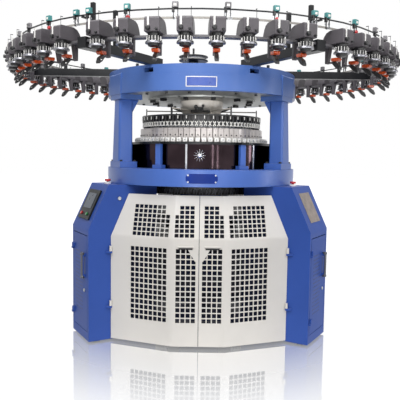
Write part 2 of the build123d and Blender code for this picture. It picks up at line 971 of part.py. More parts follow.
for side in (-1, 1):
    half = side_thickness / 2
    plate = block(-half, half, -side_width / 2, side_width / 2, side_bottom, takedown_ring_bottom)
    frame += Pos(side * (side_position + side_thickness / 2), 0, 0) * plate
    frame += Pos(0, side * spreader_half_width, 0) * along_x(
        pin_sides, spreader_radius, 0.7 * side_position, spreader_level
    )
    frame += block(
        side * 0.6 * side_position - 10, side * 0.6 * side_position + 10,
        -spreader_half_width, spreader_half_width,
        spreader_level - spreader_radius / 2, spreader_level + spreader_radius / 2,
    )
frame += along_x(pin_sides, spreader_radius, side_position, spreader_level)
for level in frame_levels:
    frame -= along_x(
        pin_sides, journal_radius + running_clearance, side_position + 2 * side_thickness, level, True
    )
save("takedown_frame", frame)


def roller(radius, level):
    body = along_x(shaft_sides, radius, side_position - curved_gap, level)
    return body + along_x(pin_sides, journal_radius, side_position + journal_length, level)


save("draw_roller", roller(draw_roller_radius, frame_levels[0]))
save("nip_roller", roller(draw_roller_radius, frame_levels[1]))
save("cloth_roller", roller(cloth_roller_radius, frame_levels[2]))

# Gates: each leaf is one folded sheet with a flat front, a slanted wing and a leaning upper part
leg_half = leg_width / 2
hinge_x = gate_leg_radial * cos(radians(-30)) - (leg_half + door_gap) * sin(radians(30))
hinge_y = gate_leg_radial * sin(radians(-30)) - (leg_half + door_gap) * cos(radians(30))
wing = Vector(hinge_x - gate_flat, hinge_y + gate_front, 0)
wing_length = wing.length
wing_angle = degrees(atan2(wing.Y, wing.X))
wing_out = Vector(sin(radians(wing_angle)), -cos(radians(wing_angle)), 0)


def gate_line(inward, reach):
    """Front corner points of a leaf's plan line, moved inward; reach lengthens it past both ends."""
    corner_x = gate_flat - inward * (1 - cos(radians(wing_angle))) / sin(radians(wing_angle))
    along = wing.normalized()
    end = Vector(hinge_x, hinge_y, 0) - wing_out * inward + along * reach
    return [
        (gate_seam / 2 - reach, -gate_front + inward),
        (corner_x, -gate_front + inward),
        (end.X, end.Y),
    ]


def gate_region(inward, reach):
    line = gate_line(inward, reach)
    back = 0.0
    return make_face(Polyline(*line, (line[2][0], back), (line[0][0], back), close=True))


def leg_side_cut():
    """The room a leaf leaves free beside its leg."""
    return turned(
        block(0, 2 * leg_outer, -leg_half - door_gap, leg_half, gate_bottom - 1, gate_top + 1), -30
    )


def gate_shell():
    height = gate_fold - gate_bottom
    lower = Pos(0, 0, gate_bottom) * (
        extrude(gate_region(0, 0), height) - extrude(gate_region(gate_sheet, 60), height)
    )
    upper = loft(
        [Pos(0, 0, gate_fold) * gate_region(0, 0), Pos(0, 0, gate_top) * gate_region(gate_lean, 0)],
        ruled=True,
    )
    upper -= loft(
        [
            Pos(0, 0, gate_fold) * gate_region(gate_sheet, 60),
            Pos(0, 0, gate_top) * gate_region(gate_lean + gate_sheet, 60),
        ],
        ruled=True,
    )
    back_cut = block(-leg_outer, 2 * leg_outer, -80, leg_outer, gate_bottom - 1, gate_top + 1)
    return lower + upper - leg_side_cut() - back_cut


def window_cuts(columns, start, length, z0, z1):
    """Openings of equal width side by side along a facet, in the facet's own x direction."""
    width = (length - (columns - 1) * window_bar) / columns
    firsts = [start + i * (width + window_bar) for i in range(columns)]
    return [block(first, first + width, -2 * gate_lean, gate_lean, z0, z1) for first in firsts]


def gate_leaf():
    leaf = gate_shell()
    flat_start = gate_flat - flat_inset - flat_length
    lower = (lower_window_bottom, lower_window_top)
    upper = (upper_window_bottom, upper_window_top)
    to_flat = Pos(0, -gate_front, 0)
    to_wing = Pos(gate_flat, -gate_front, 0) * Rot(0, 0, wing_angle)
    lean_in = Pos(0, 2 * gate_sheet + gate_lean, 0)
    for cut in window_cuts(flat_columns, flat_start, flat_length, *lower):
        leaf -= to_flat * cut
    for cut in window_cuts(upper_flat_columns, flat_start, flat_length, *upper):
        leaf -= to_flat * lean_in * cut
    for cut in window_cuts(outer_columns, outer_start, field_length, *lower):
        leaf -= to_wing * cut
    for cut in window_cuts(upper_outer_columns, upper_outer_start, field_length, *upper):
        leaf -= to_wing * lean_in * cut
    leaf += block(
        gate_seam / 2 + 24, gate_seam / 2 + 24 + grip_length,
        -gate_front - grip_depth, -gate_front,
        grip_level, grip_level + grip_height,
    )
    for level in hinge_levels:
        leaf += hinge_lug(level) - leg_side_cut()
        leaf -= hinge_bore(level)
    return leaf


pin_x = hinge_x + hinge_offset * wing_out.X - 6
pin_y = hinge_y + hinge_offset * wing_out.Y


def hinge_lug(level):
    half = hinge_lug_width / 2
    return block(pin_x - half, pin_x + half, pin_y - half, pin_y + half + 6, level, level + hinge_lug_height)


def hinge_bore(level):
    lug_top = level + hinge_lug_height
    return prism_hole(hinge_pin_radius + running_clearance, pin_sides, level - 1, lug_top + 1, pin_x, pin_y)


def hinge_pin_set():
    """A pin with its foot, welded to the side of the leg: the leaf's lug turns on the pin."""
    half = hinge_lug_width / 2
    sets = []
    for level in hinge_levels:
        pin = prism(
            hinge_pin_radius, pin_sides, level - curved_gap - 1, level + hinge_lug_height + 4, pin_x, pin_y
        )
        seat_z = (level - curved_gap - hinge_seat_height, level - curved_gap)
        seat = block(pin_x - half, pin_x + 2 * hinge_lug_width, pin_y - half, pin_y + half, *seat_z)
        leg_block = turned(
            block(0, leg_outer, -leg_half, leg_half, seat_z[0] - 1, seat_z[1] + 1), -30
        )
        sets.append(pin + (seat - leg_block).solids().sort_by(Axis.X)[0])
    return sets


leaf = gate_leaf()
pins = hinge_pin_set()
gate_names = ("front", "rear_right", "rear_left")
all_pins = []
for name, angle in zip(gate_names, (0, 120, 240)):
    save(f"gate_{name}_a", turned(leaf, angle))
    save(f"gate_{name}_b", turned(mirror(leaf, Plane.YZ), angle))
    for pin in pins:
        all_pins.append(turned(pin, angle))
        all_pins.append(turned(mirror(pin, Plane.YZ), angle))

# Cabinet doors: a flush panel in each leg's outer face on a hinge pin, with a bar handle
door_half = opening_half - door_gap
cabinet_pin_x = leg_outer + cabinet_hinge_offset
cabinet_pin_y = -opening_half
cabinet_levels = (
    leg_opening_bottom + cabinet_hinge_inset,
    leg_opening_top - cabinet_hinge_inset - cabinet_hinge_lug,
)


def cabinet_door():
    door = block(
        leg_outer - leg_sheet / 2, leg_outer,
        -door_half, door_half,
        leg_opening_bottom + door_gap, leg_opening_top - door_gap,
    )
    for level in cabinet_levels:
        lug_top = level + cabinet_hinge_lug
        door += block(leg_outer, cabinet_pin_x + 6, -door_half, -door_half + 20, level, lug_top)
        door += block(cabinet_pin_x - 7, cabinet_pin_x + 6, cabinet_pin_y - 5, -door_half, level, lug_top)
        door -= prism_hole(
            hinge_pin_radius + running_clearance, pin_sides,
            level - 1, level + cabinet_hinge_lug + 1, cabinet_pin_x, cabinet_pin_y,
        )
    return door


def cabinet_pins():
    made = []
    for level in cabinet_levels:
        pin = prism(
            hinge_pin_radius, pin_sides,
            level - curved_gap - 1, level + cabinet_hinge_lug + 4, cabinet_pin_x, cabinet_pin_y,
        )
        seat = block(
            leg_outer, cabinet_pin_x + 6,
            cabinet_pin_y - 16, cabinet_pin_y + 6,
            level - curved_gap - 12, level - curved_gap,
        )
        made.append(pin + seat)
    return made


handle = block(
    leg_outer, leg_outer + handle_depth,
    door_half - 40 - handle_width, door_half - 40,
    handle_level, handle_level + handle_length,
) - block(
    leg_outer - 1, leg_outer + handle_depth - 6,
    door_half - 41 - handle_width, door_half - 39,
    handle_level + 20, handle_level + handle_length - 20,
)
for name, angle in zip(leg_names, leg_angles):
    save(f"cabinet_door_{name}", turned(cabinet_door() + handle, angle))
    all_pins += [turned(pin, angle) for pin in cabinet_pins()]
save("hinge_pins", *all_pins)

# Control panel on the left leg's slope, with its screen and three push buttons
middle = slope_length * panel_centre
standing = (Align.CENTER, Align.CENTER, Align.MIN)
panel = on_slope(middle) * Box(panel_width, panel_length, panel_thickness, align=standing)
buttons = []
for k in (-1, 1):
    along, side = middle + button_shift, k * button_spacing
    seat_depth = panel_thickness - button_seat
    panel -= on_slope(along, side, seat_depth) * prism_hole(
        button_radius + curved_gap, shaft_sides, 0, panel_thickness
    )
    lifted = on_slope(along, side, seat_depth + button_travel + curved_gap)
    buttons.append(lifted * prism(button_radius, shaft_sides, 0, button_height))
save("control_panel", turned(panel, left))
screen = on_slope(middle + screen_shift, 0, panel_thickness) * Box(
    screen_width, screen_length, screen_thickness, align=standing
)
save("panel_screen", turned(screen, left))
for name, button in zip(("stop", "start"), buttons):
    save(f"{name}_button", turned(button, left))

# Bare plates: one on the right leg's slope, one on the front of the bed
slope_plate = on_slope(middle) * Box(slope_plate_width, panel_length, plate_thickness, align=standing)
save("slope_plate", turned(slope_plate, right))

# Emergency stops on the tops of the front legs
collars = []
for name, angle, side in (("left", left, 1), ("right", right, -1)):
    y = side * stop_button_side
    spot = (stop_button_radial, y)
    collar_top = bed_bottom + stop_collar_height
    collar = prism(stop_collar_radius, shaft_sides, bed_bottom, collar_top, *spot)
    stem_seat = bed_bottom + 2
    collar -= prism_hole(stop_stem_radius + running_clearance, pin_sides, stem_seat, collar_top + 1, *spot)
    collars.append(turned(collar, angle))
    cap_bottom = collar_top + stop_button_travel + curved_gap
    cap = prism(stop_button_radius, shaft_sides, cap_bottom, cap_bottom + stop_button_height, *spot)
    stem_bottom = stem_seat + stop_button_travel + curved_gap
    cap += prism(stop_stem_radius, pin_sides, stem_bottom, cap_bottom, *spot)
    save(f"emergency_stop_{name}", turned(cap, angle))
save("stop_collars", *collars)

# Inside the front legs: control gear on the left, the oil unit on the right
plate_x = leg_inner + leg_sheet
back_plate = block(
    plate_x, plate_x + gear_plate_thickness,
    -inner_half + 20, inner_half - 20,
    leg_opening_bottom + 40, leg_opening_top,
)
front_x = plate_x + gear_plate_thickness
dx, dy, dz = drive_unit_size
drive_unit = block(front_x, front_x + dx, -dy / 2, dy / 2, drive_unit_level, drive_unit_level + dz)
gear_pieces = [back_plate, drive_unit]
cx, cy, cz = contactor_size
for k in range(contactor_count):
    y = (k - (contactor_count - 1) / 2) * (cy + 8)
    gear_pieces.append(
        block(front_x, front_x + cx, y - cy / 2, y + cy / 2, contactor_level, contactor_level + cz)
    )
save("control_gear", *[turned(piece, left) for piece in gear_pieces])
tx, ty, tz = oil_tank_size
floor_z = foot_height + leg_sheet
tank_x = leg_inner + 2 * foot_inset
tank = block(tank_x, tank_x + tx, -ty / 2, ty / 2, floor_z, floor_z + tz)
tank += prism(oil_cap_radius, shaft_sides, floor_z + tz, floor_z + tz + oil_cap_height, tank_x + tx / 2, 0)
save("oil_tank", turned(tank, right))
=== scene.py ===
import math

import bpy
import numpy as np
from mathutils import Matrix, Vector


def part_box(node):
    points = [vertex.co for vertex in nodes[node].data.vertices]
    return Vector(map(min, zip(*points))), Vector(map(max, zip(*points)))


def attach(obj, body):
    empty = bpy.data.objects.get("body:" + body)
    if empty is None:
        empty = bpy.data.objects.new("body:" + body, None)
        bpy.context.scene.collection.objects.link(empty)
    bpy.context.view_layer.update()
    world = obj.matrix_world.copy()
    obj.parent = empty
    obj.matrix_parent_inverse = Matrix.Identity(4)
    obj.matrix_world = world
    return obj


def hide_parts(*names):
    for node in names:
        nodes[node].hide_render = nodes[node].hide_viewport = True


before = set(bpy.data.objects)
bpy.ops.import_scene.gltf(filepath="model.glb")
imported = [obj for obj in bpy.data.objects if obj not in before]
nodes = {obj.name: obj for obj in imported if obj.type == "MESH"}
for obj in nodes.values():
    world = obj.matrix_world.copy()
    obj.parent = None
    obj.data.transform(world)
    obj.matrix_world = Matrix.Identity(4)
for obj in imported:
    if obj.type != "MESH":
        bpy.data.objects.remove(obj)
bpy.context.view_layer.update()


# Studio: a smooth pale floor, a white backdrop that only the camera and reflections see, large soft lamps
# around the machine, one narrow lamp for its head, and three upright strips that streak the glossy cover.
def node(tree, kind, inputs=(), **settings):
    """Adds a node, sets its fields, and fills or links its inputs."""
    made = tree.nodes.new(kind)
    for key, value in settings.items():
        setattr(made, key, value)
    for slot, value in dict(inputs).items():
        if isinstance(value, bpy.types.NodeSocket):
            tree.links.new(value, made.inputs[slot])
        else:
            made.inputs[slot].default_value = value
    return made


def seen(red, green, blue):
    """A colour as it looks on a screen, 0 to 255, turned into the linear values that Blender takes."""
    share = np.array([red, green, blue]) / 255
    return (*np.where(share > 0.04045, ((share + 0.055) / 1.055) ** 2.4, share / 12.92).tolist(), 1.0)


def maths(tree, operation, first, second):
    """One step of arithmetic on two sockets."""
    return node(tree, "ShaderNodeMath", {0: first, 1: second}, operation=operation).outputs[0]


def mixed(tree, share, first, second):
    """Two shaders mixed: the first at a share of 0, the second at 1."""
    return node(tree, "ShaderNodeMixShader", {0: share, 1: first, 2: second}).outputs[0]


def looked_at(tree):
    """1 for rays from the camera, from glossy surfaces and through clear ones, and 0 for light."""
    rays = node(tree, "ShaderNodeLightPath").outputs
    either = maths(tree, "MAXIMUM", rays["Is Camera Ray"], rays["Is Glossy Ray"])
    return maths(tree, "MAXIMUM", either, rays["Is Transmission Ray"])


sky = bpy.data.worlds.new("backdrop")
sky.use_nodes = True
sky.node_tree.nodes.clear()
tree = sky.node_tree
sky_light = node(tree, "ShaderNodeBackground", {"Color": seen(236, 240, 248), "Strength": 0.2}).outputs[0]
sky_white = node(tree, "ShaderNodeBackground", {"Color": (1, 1, 1, 1), "Strength": 1.0}).outputs[0]
node(tree, "ShaderNodeOutputWorld", {"Surface": mixed(tree, looked_at(tree), sky_light, sky_white)})
bpy.context.scene.world = sky

floor_finish = bpy.data.materials.new("floor_finish")
floor_finish.use_nodes = True
tree = floor_finish.node_tree
tree.nodes.clear()
place = node(tree, "ShaderNodeTexCoord").outputs["Object"]
floor_gloss = node(tree, "ShaderNodeTexNoise", {"Vector": place, "Scale": 3.0}).outputs["Fac"]
floor_rough = node(
    tree, "ShaderNodeMapRange", {"Value": floor_gloss, "To Min": 0.03, "To Max": 0.06}
).outputs[0]
floor_body = node(
    tree, "ShaderNodeBsdfPrincipled",
    {"Base Color": seen(150, 151, 153), "Roughness": floor_rough, "Specular IOR Level": 0.45},
).outputs[0]
floor_glow = node(tree, "ShaderNodeEmission", {"Color": (1, 1, 1, 1), "Strength": 0.62}).outputs[0]
floor_dark = node(tree, "ShaderNodeEmission", {"Strength": 0.0}).outputs[0]
floor_sum = node(
    tree, "ShaderNodeAddShader", {0: floor_body, 1: mixed(tree, looked_at(tree), floor_dark, floor_glow)}
).outputs[0]
floor_mirror = node(
    tree, "ShaderNodeBsdfGlossy", {"Color": (1, 1, 1, 1), "Roughness": floor_rough}
).outputs[0]
from_centre = node(tree, "ShaderNodeVectorMath", {0: place}, operation="LENGTH").outputs["Value"]
mirror_share = node(
    tree, "ShaderNodeMapRange",
    {"Value": from_centre, "From Min": 0.95, "From Max": 1.75, "To Min": 0.62, "To Max": 0.0},
).outputs[0]
node(tree, "ShaderNodeOutputMaterial", {"Surface": mixed(tree, mirror_share, floor_sum, floor_mirror)})
floor_half = 30
floor_corners = [(x * floor_half, y * floor_half, 0) for x, y in ((-1, -1), (1, -1), (1, 1), (-1, 1))]
floor_mesh = bpy.data.meshes.new("floor")
floor_mesh.from_pydata(floor_corners, [], [(0, 1, 2, 3)])
floor_mesh.materials.append(floor_finish)
floor = bpy.data.objects.new("floor", floor_mesh)
bpy.context.collection.objects.link(floor)


def add_lamp(name, kind, place, target, power, **settings):
    """Adds a lamp that stands at a place: its own downward axis points from there to the target."""
    light = bpy.data.lights.new(name, kind)
    light.energy = power
    for key, value in settings.items():
        setattr(light, key, value)
    lamp = bpy.data.objects.new(name, light)
    way = Vector(target) - Vector(place)
    lamp.matrix_world = Matrix.Translation(place) @ way.to_track_quat("-Z", "Y").to_matrix().to_4x4()
    lamp.visible_camera = False
    bpy.context.collection.objects.link(lamp)
    return lamp


machine_middle = (0, 0, 1.3)
for name, place, width, height, power in (
    ("key_lamp", (-1.0, -3.3, 4.3), 2.4, 2.4, 150.0),
    ("sheen_lamp", (0.2, -4.9, 2.8), 3.4, 0.9, 26.0),
    ("fill_lamp", (4.5, -5.0, 3.6), 2.2, 2.2, 90.0),
    ("top_lamp", (0.0, -1.0, 7.0), 5.0, 5.0, 140.0),
    ("rear_lamp", (1.0, 6.5, 4.5), 4.0, 4.0, 200.0),
    ("middle_strip", (1.6, -5.0, 1.4), 0.06, 1.8, 9.0),
    ("right_strip", (2.4, -5.1, 1.4), 0.06, 1.8, 8.0),
    ("side_strip", (5.0, -0.8, 1.5), 0.3, 2.0, 30.0),
):
    lamp = add_lamp(name, "AREA", place, machine_middle, power, shape="RECTANGLE", size=width, size_y=height)
    lamp.visible_glossy = name != "rear_lamp"
add_lamp(
    "head_lamp", "SPOT", (-0.3, -4.9, 0.45), (0, -0.3, 1.81), 500.0,
    spot_size=math.radians(19), spot_blend=1.0, shadow_soft_size=0.3,
)

camera_data = bpy.data.cameras.new("camera")
camera_data.sensor_width = 36.0
camera_data.lens = 50.85
camera = bpy.data.objects.new("camera", camera_data)
camera_heading, camera_pitch, camera_roll = map(math.radians, (0.3107, 4.5456, 0.7918))
camera.matrix_world = (
    Matrix.Translation((0.0225, -4.6, 1.3556))
    @ Matrix.Rotation(camera_heading, 4, "Z")
    @ Matrix.Rotation(math.pi / 2 - camera_pitch, 4, "X")
    @ Matrix.Rotation(camera_roll, 4, "Z")
)
bpy.context.collection.objects.link(camera)
bpy.context.scene.camera = camera
bpy.context.scene.view_settings.view_transform = "Standard"


# Legs, levelling feet and base: welded sheet cabinets in satin blue powder paint on black feet.
# Their shapes come from the frame, with the edges rounded here as a folded sheet's are.
def new_group(name, kind, inputs, outputs):
    """A node group with its sockets, each given by its name and its kind."""
    group = bpy.data.node_groups.new(name, kind)
    for in_out, sockets in (("INPUT", inputs), ("OUTPUT", outputs)):
        for label, socket_kind in sockets.items():
            group.interface.new_socket(label, in_out=in_out, socket_type=f"NodeSocket{socket_kind}")
    return group


def drift_group():
    """Two noises of the place: a slow one that changes the tone, and a fine one for the surface's skin."""
    sockets = {"Place": "Vector", "Scale": "Float", "Grain": "Float"}
    group = new_group("drift", "ShaderNodeTree", sockets, {"Tone": "Float", "Skin": "Float"})
    given = node(group, "NodeGroupInput").outputs
    slow = node(
        group, "ShaderNodeTexNoise",
        {"Vector": given["Place"], "Scale": given["Scale"], "Detail": 5.0, "Roughness": 0.6},
    )
    fine = node(
        group, "ShaderNodeTexNoise", {"Vector": given["Place"], "Scale": given["Grain"], "Detail": 2.0}
    )
    tone = node(group, "ShaderNodeMapRange", {"Value": slow.outputs["Fac"], "From Min": 0.3, "From Max": 0.7})
    node(group, "NodeGroupOutput", {"Tone": tone.outputs[0], "Skin": fine.outputs["Fac"]})
    return group


def pale_top_group():
    """A pale tint on faces that look up: how far the face looks up, broken by a noise, as a mask."""
    group = new_group("pale_top", "ShaderNodeTree", {"Place": "Vector", "Amount": "Float"}, {"Mask": "Float"})
    given = node(group, "NodeGroupInput").outputs
    normal = node(group, "ShaderNodeNewGeometry").outputs["Normal"]
    up = node(group, "ShaderNodeSeparateXYZ", {"Vector": normal}).outputs["Z"]
    flat = node(group, "ShaderNodeMapRange", {"Value": up, "From Min": 0.6, "From Max": 0.95})
    patches = node(group, "ShaderNodeTexNoise", {"Vector": given["Place"], "Scale": 14.0, "Detail": 4.0})
    lying = maths(group, "MULTIPLY", flat.outputs[0], patches.outputs["Fac"])
    node(group, "NodeGroupOutput", {"Mask": maths(group, "MULTIPLY", lying, given["Amount"])})
    return group


drift = drift_group()
pale_top = pale_top_group()
# A pale beige laid in patches on faces that look up, lighter towards the top of each part.
pale_top_colour = seen(190, 186, 178)
mm = 0.001
skin_depth = 0.6 * mm
gloss_drift = 0.12


def finish(name, colour, roughness, metallic=0.0, spread=0.1, scale=3.0, grain=500.0, skin=0.08, stretch=None,
           coat=0.0, pale_top_share=0.0, shine=0.5):
    """A surface whose colour and gloss drift by the spread, with a fine skin in relief, and a pale beige tint
    in patches on faces that look up.
    """
    material = bpy.data.materials.new(name)
    material.use_nodes = True
    tree = material.node_tree
    tree.nodes.clear()
    place = node(tree, "ShaderNodeTexCoord").outputs["Object"]
    if stretch:
        place = node(tree, "ShaderNodeMapping", {"Vector": place, "Scale": stretch}).outputs[0]
    noises = {"Place": place, "Scale": scale, "Grain": grain}
    drifting = node(tree, "ShaderNodeGroup", noises, node_tree=drift)
    base = np.array(seen(*colour)[:3])
    low = (*(base * (1 - spread)).tolist(), 1.0)
    high = (*np.minimum(base * (1 + spread), 1.0).tolist(), 1.0)
    colours = {0: drifting.outputs["Tone"], 6: low, 7: high}
    tint = node(tree, "ShaderNodeMix", colours, data_type="RGBA").outputs[2]
    duller, glossier = min(1.0, roughness * (1 + gloss_drift)), roughness * (1 - gloss_drift)
    gloss = node(
        tree, "ShaderNodeMapRange", {"Value": drifting.outputs["Tone"], "To Min": glossier, "To Max": duller}
    )
    if pale_top_share:
        lying = node(tree, "ShaderNodeGroup", {"Place": place, "Amount": pale_top_share}, node_tree=pale_top)
        pale_topped = {0: lying.outputs["Mask"], 6: tint, 7: pale_top_colour}
        tint = node(tree, "ShaderNodeMix", pale_topped, data_type="RGBA").outputs[2]
    relief = node(
        tree, "ShaderNodeBump", {"Strength": skin, "Distance": skin_depth, "Height": drifting.outputs["Skin"]}
    )
    body = node(
        tree, "ShaderNodeBsdfPrincipled",
        {
            "Base Color": tint, "Roughness": gloss.outputs[0], "Metallic": metallic, "Coat Weight": coat,
            "Coat Roughness": 0.08, "Normal": relief.outputs[0], "Specular IOR Level": shine,
        },
    )
    node(tree, "ShaderNodeOutputMaterial", {"Surface": body.outputs[0]})
    return material


def crisp_edges(limit=0.6):
    """Node group for a modifier: shades a mesh smooth, but keeps every edge sharper than the limit."""
    group = new_group("crisp_edges", "GeometryNodeTree", {"Mesh": "Geometry"}, {"Mesh": "Geometry"})
    given = node(group, "NodeGroupInput")
    smooth = node(group, "GeometryNodeSetShadeSmooth", {"Geometry": given.outputs[0]}, domain="FACE")
    over = node(
        group, "FunctionNodeCompare",
        {0: node(group, "GeometryNodeInputMeshEdgeAngle").outputs[0], 1: limit},
        data_type="FLOAT", operation="GREATER_THAN",
    )
    crisp = node(
        group, "GeometryNodeSetShadeSmooth",
        {"Geometry": smooth.outputs[0], "Selection": over.outputs[0], "Shade Smooth": False}, domain="EDGE",
    )
    node(group, "NodeGroupOutput", {0: crisp.outputs[0]})
    return group


shading = crisp_edges()


def dress(piece, material, edge=1.5, rounds=2):
    """Gives a piece or CAD node its finish, rounds sharp edges by the edge's millimetres and shades it."""
    piece.data.materials.clear()
    piece.data.materials.append(material)
    joint = piece.modifiers.new("join_corners", "WELD")
    joint.merge_threshold = 0.02 * mm
    if edge:
        rounding = piece.modifiers.new("rounded_edges", "BEVEL")
        rounding.width = edge * mm
        rounding.segments = rounds
        rounding.limit_method = "ANGLE"
        rounding.angle_limit = math.radians(35)
        rounding.use_clamp_overlap = True
    piece.modifiers.new("shading", "NODES").node_group = shading
    piece.modifiers.new("flat_faces", "WEIGHTED_NORMAL").keep_sharp = True


leg_blue = finish(
    "leg_blue", (48, 79, 156), 0.48, spread=0.07, scale=2.0, grain=900.0, skin=0.14, pale_top_share=0.15, shine=0.2
)
black_paint = finish(
    "black_paint", (20, 21, 24), 0.34, spread=0.2, scale=5.0, grain=700.0, pale_top_share=0.08, shine=0.3
)
dress(nodes["legs"], leg_blue, 3.0)
dress(nodes["levelling_feet"], black_paint, 2.0)
dress(nodes["base_spider"], leg_blue, 3.0)


# Bed: a hollow ring casting on the legs, machined, and painted in a glossier blue than they are.
# A blank plate, bent to the bed's own curve, is held on its front by four steel screws.
def piece(name, part, body, slot, material, edge=1.0, rounds=2, stands_for=()):
    """Makes an object of a part's points, in millimetres, and its faces, and sets it on its CAD body."""
    points, faces = part
    mesh = bpy.data.meshes.new(name)
    mesh.from_pydata((points * mm).tolist(), [], [face for group in faces for face in group.tolist()])
    made = bpy.data.objects.new(name, mesh)
    bpy.context.collection.objects.link(made)
    dress(made, material, edge, rounds)
    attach(made, body)
    if stands_for:
        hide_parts(*stands_for)
    return made


def joined(*parts):
    """Several parts as one: the point lists end to end, each face list moved up by the points before it."""
    starts = np.cumsum([0] + [len(points) for points, _ in parts])
    points = np.concatenate([points for points, _ in parts])
    return points, [group + start for (_, faces), start in zip(parts, starts) for group in faces]


def around(part, angles):
    """Copies turned about the machine's axis: x cos a - y sin a, and x sin a + y cos a."""
    points, faces = part
    turn = np.radians(np.atleast_1d(np.asarray(angles, float)))[:, None]
    x, y, z = points.T
    copies = np.stack(
        [x * np.cos(turn) - y * np.sin(turn), x * np.sin(turn) + y * np.cos(turn), z + 0 * turn], -1
    )
    jumps = len(points) * np.arange(len(turn))[:, None, None]
    return copies.reshape(-1, 3), [(group[None] + jumps).reshape(-1, group.shape[1]) for group in faces]


def turned(profile, steps=96, centre=(0.0, 0.0), loop=False):
    """A (radius, height) profile, drawn upwards, turned about an upright line: x is radius cos a, y is
    radius sin a. Its ends are closed by caps, or the profile is a loop and closes on itself."""
    radius, height = np.asarray(profile, float).T
    turn = 2 * np.pi * np.arange(steps)[:, None] / steps
    points = np.stack(
        [centre[0] + radius * np.cos(turn), centre[1] + radius * np.sin(turn), height + 0 * turn], -1
    ).reshape(-1, 3)
    k = len(radius)
    i, j = np.meshgrid(np.arange(steps), np.arange(k if loop else k - 1), indexing="ij")
    i2, j2 = (i + 1) % steps, (j + 1) % k
    faces = [np.stack([i * k + j, i2 * k + j, i2 * k + j2, i * k + j2], -1).reshape(-1, 4)]
    if not loop:
        faces += [(np.arange(steps) * k)[::-1][None], (np.arange(steps) * k + k - 1)[None]]
    return points, faces


def pointing_out(part, side=0.0, height=0.0):
    """Lays an upright turned part along the radius: its height becomes the distance out."""
    return part[0][:, [2, 0, 1]] + [0, side, height], part[1]


def shifted(part, x=0.0, y=0.0, z=0.0):
    """A part moved without a turn."""
    return part[0] + np.array([x, y, z]), part[1]


def screw_head(radius, height):
    """A cap screw's head: a short cylinder with a rounded rim and a shallow socket."""
    shares = np.array([(1, 0), (1, 0.75), (0.85, 1), (0.5, 1), (0.45, 0.5)])
    return turned(shares * [radius, height], 12)


def heights(box):
    """A box's lowest and highest level in millimetres."""
    return box[0].z / mm, box[1].z / mm


def curved_plate(reach, half_width, low, high, thickness, corner=0.0, steps=13):
    """A plate bent round the machine's axis: a rim worked out left to right below and back above, carried
    out by the thickness. Over the last part of the width, which the corner names, its height is multiplied
    by the root of 1 - 0.85 past^2."""
    across = np.linspace(-1, 1, steps)
    past = np.maximum(np.abs(across) - 1 + corner, 0) / max(corner, 1e-6)
    lift = np.sqrt(1 - 0.85 * past**2) * (high - low) / 2
    turn = -np.pi / 2 + np.concatenate([across, across[::-1]]) * half_width / reach
    height = (low + high) / 2 + np.concatenate([-lift, lift[::-1]])
    rim = np.column_stack([np.cos(turn), np.sin(turn), height])
    count = 2 * steps
    k, h = np.arange(count), np.arange(steps - 1)
    sides = np.column_stack([k, (k + 1) % count, (k + 1) % count + count, k + count])
    front = np.column_stack([h, h + 1, count - 2 - h, count - 1 - h])
    points = np.concatenate([rim * [r, r, 1] for r in (reach - 1, reach + thickness)])
    return points, [sides, front + count, front[:, ::-1]]


bed_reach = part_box("bed")[1].x / mm
bed_bottom, bed_top = heights(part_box("bed"))
blue_paint = finish(
    "blue_paint", (60, 97, 174), 0.34, spread=0.06, scale=2.0, grain=900.0, skin=0.1, pale_top_share=0.15
)
dress(nodes["bed"], blue_paint, 4.0)
steel = finish("steel", (176, 178, 182), 0.32, metallic=0.9, spread=0.12, scale=9.0, stretch=(1, 1, 6))
plate_finish = finish("plate", (17, 46, 126), 0.45, spread=0.12, scale=6.0, shine=0.12)
plate_low, plate_high = bed_bottom + 26, bed_bottom + 92
plate_turn = 0.9
screw_turn, screw_rise = 7.3, 23
bed_plate = curved_plate(bed_reach, 110, plate_low, plate_high, 3, corner=0.14)
piece("bed_name_plate", around(bed_plate, plate_turn), "machine", "plate", plate_finish, 0.8)
plate_screw = shifted(pointing_out(screw_head(6, 5), 0, (plate_low + plate_high) / 2), bed_reach + 2)
screw_angles = (plate_turn - 90 - screw_turn, plate_turn - 90 + screw_turn)
piece(
    "bed_plate_screws",
    joined(*[around(shifted(plate_screw, z=up), screw_angles) for up in (-screw_rise, screw_rise)]),
    "machine", "steel", steel, 0,
)

# Columns: three iron castings in the bed's blue, which carry the crown.
# Each foot flange is bolted down to the bed by four black cap screws.
leg_angles = (210, 330, 90)
dress(nodes["columns"], blue_paint, 4.0)
column_flange_top = bed_top + 46
flange_bolt = screw_head(11, 12)
bolt_radii, bolt_sides = (617, 724), (-84, 84)
foot_bolts = joined(*[
    shifted(flange_bolt, radius, side, column_flange_top) for radius in bolt_radii for side in bolt_sides
])
piece("column_bolts", around(foot_bolts, leg_angles), "machine", "black_paint", black_paint, 0)


# Crown: one ring casting in satin blue, with a bare plate in a light frame on its front.
# The machined plate under it is grey iron, held by dark cap screws and clamps.
def bar(outline, width, side=0.0):
    """A closed (radius, height) outline given a width across the radius: two copies joined by faces."""
    flat = np.asarray(outline, float)
    x, z = flat.T
    if np.sum(x * np.roll(z, -1) - np.roll(x, -1) * z) < 0:
        flat = flat[::-1]
    k = len(flat)
    near, far = [np.insert(flat, 1, side + half, axis=1) for half in (-width / 2, width / 2)]
    i = np.arange(k)
    j = (i + 1) % k
    return np.concatenate([near, far]), [np.column_stack([i, i + k, j + k, j]), i[None], (i[::-1] + k)[None]]


def block(inner, outer, low, high, width, side=0.0):
    """A plain bar between two radii and two heights."""
    return bar([(inner, low), (outer, low), (outer, high), (inner, high)], width, side)


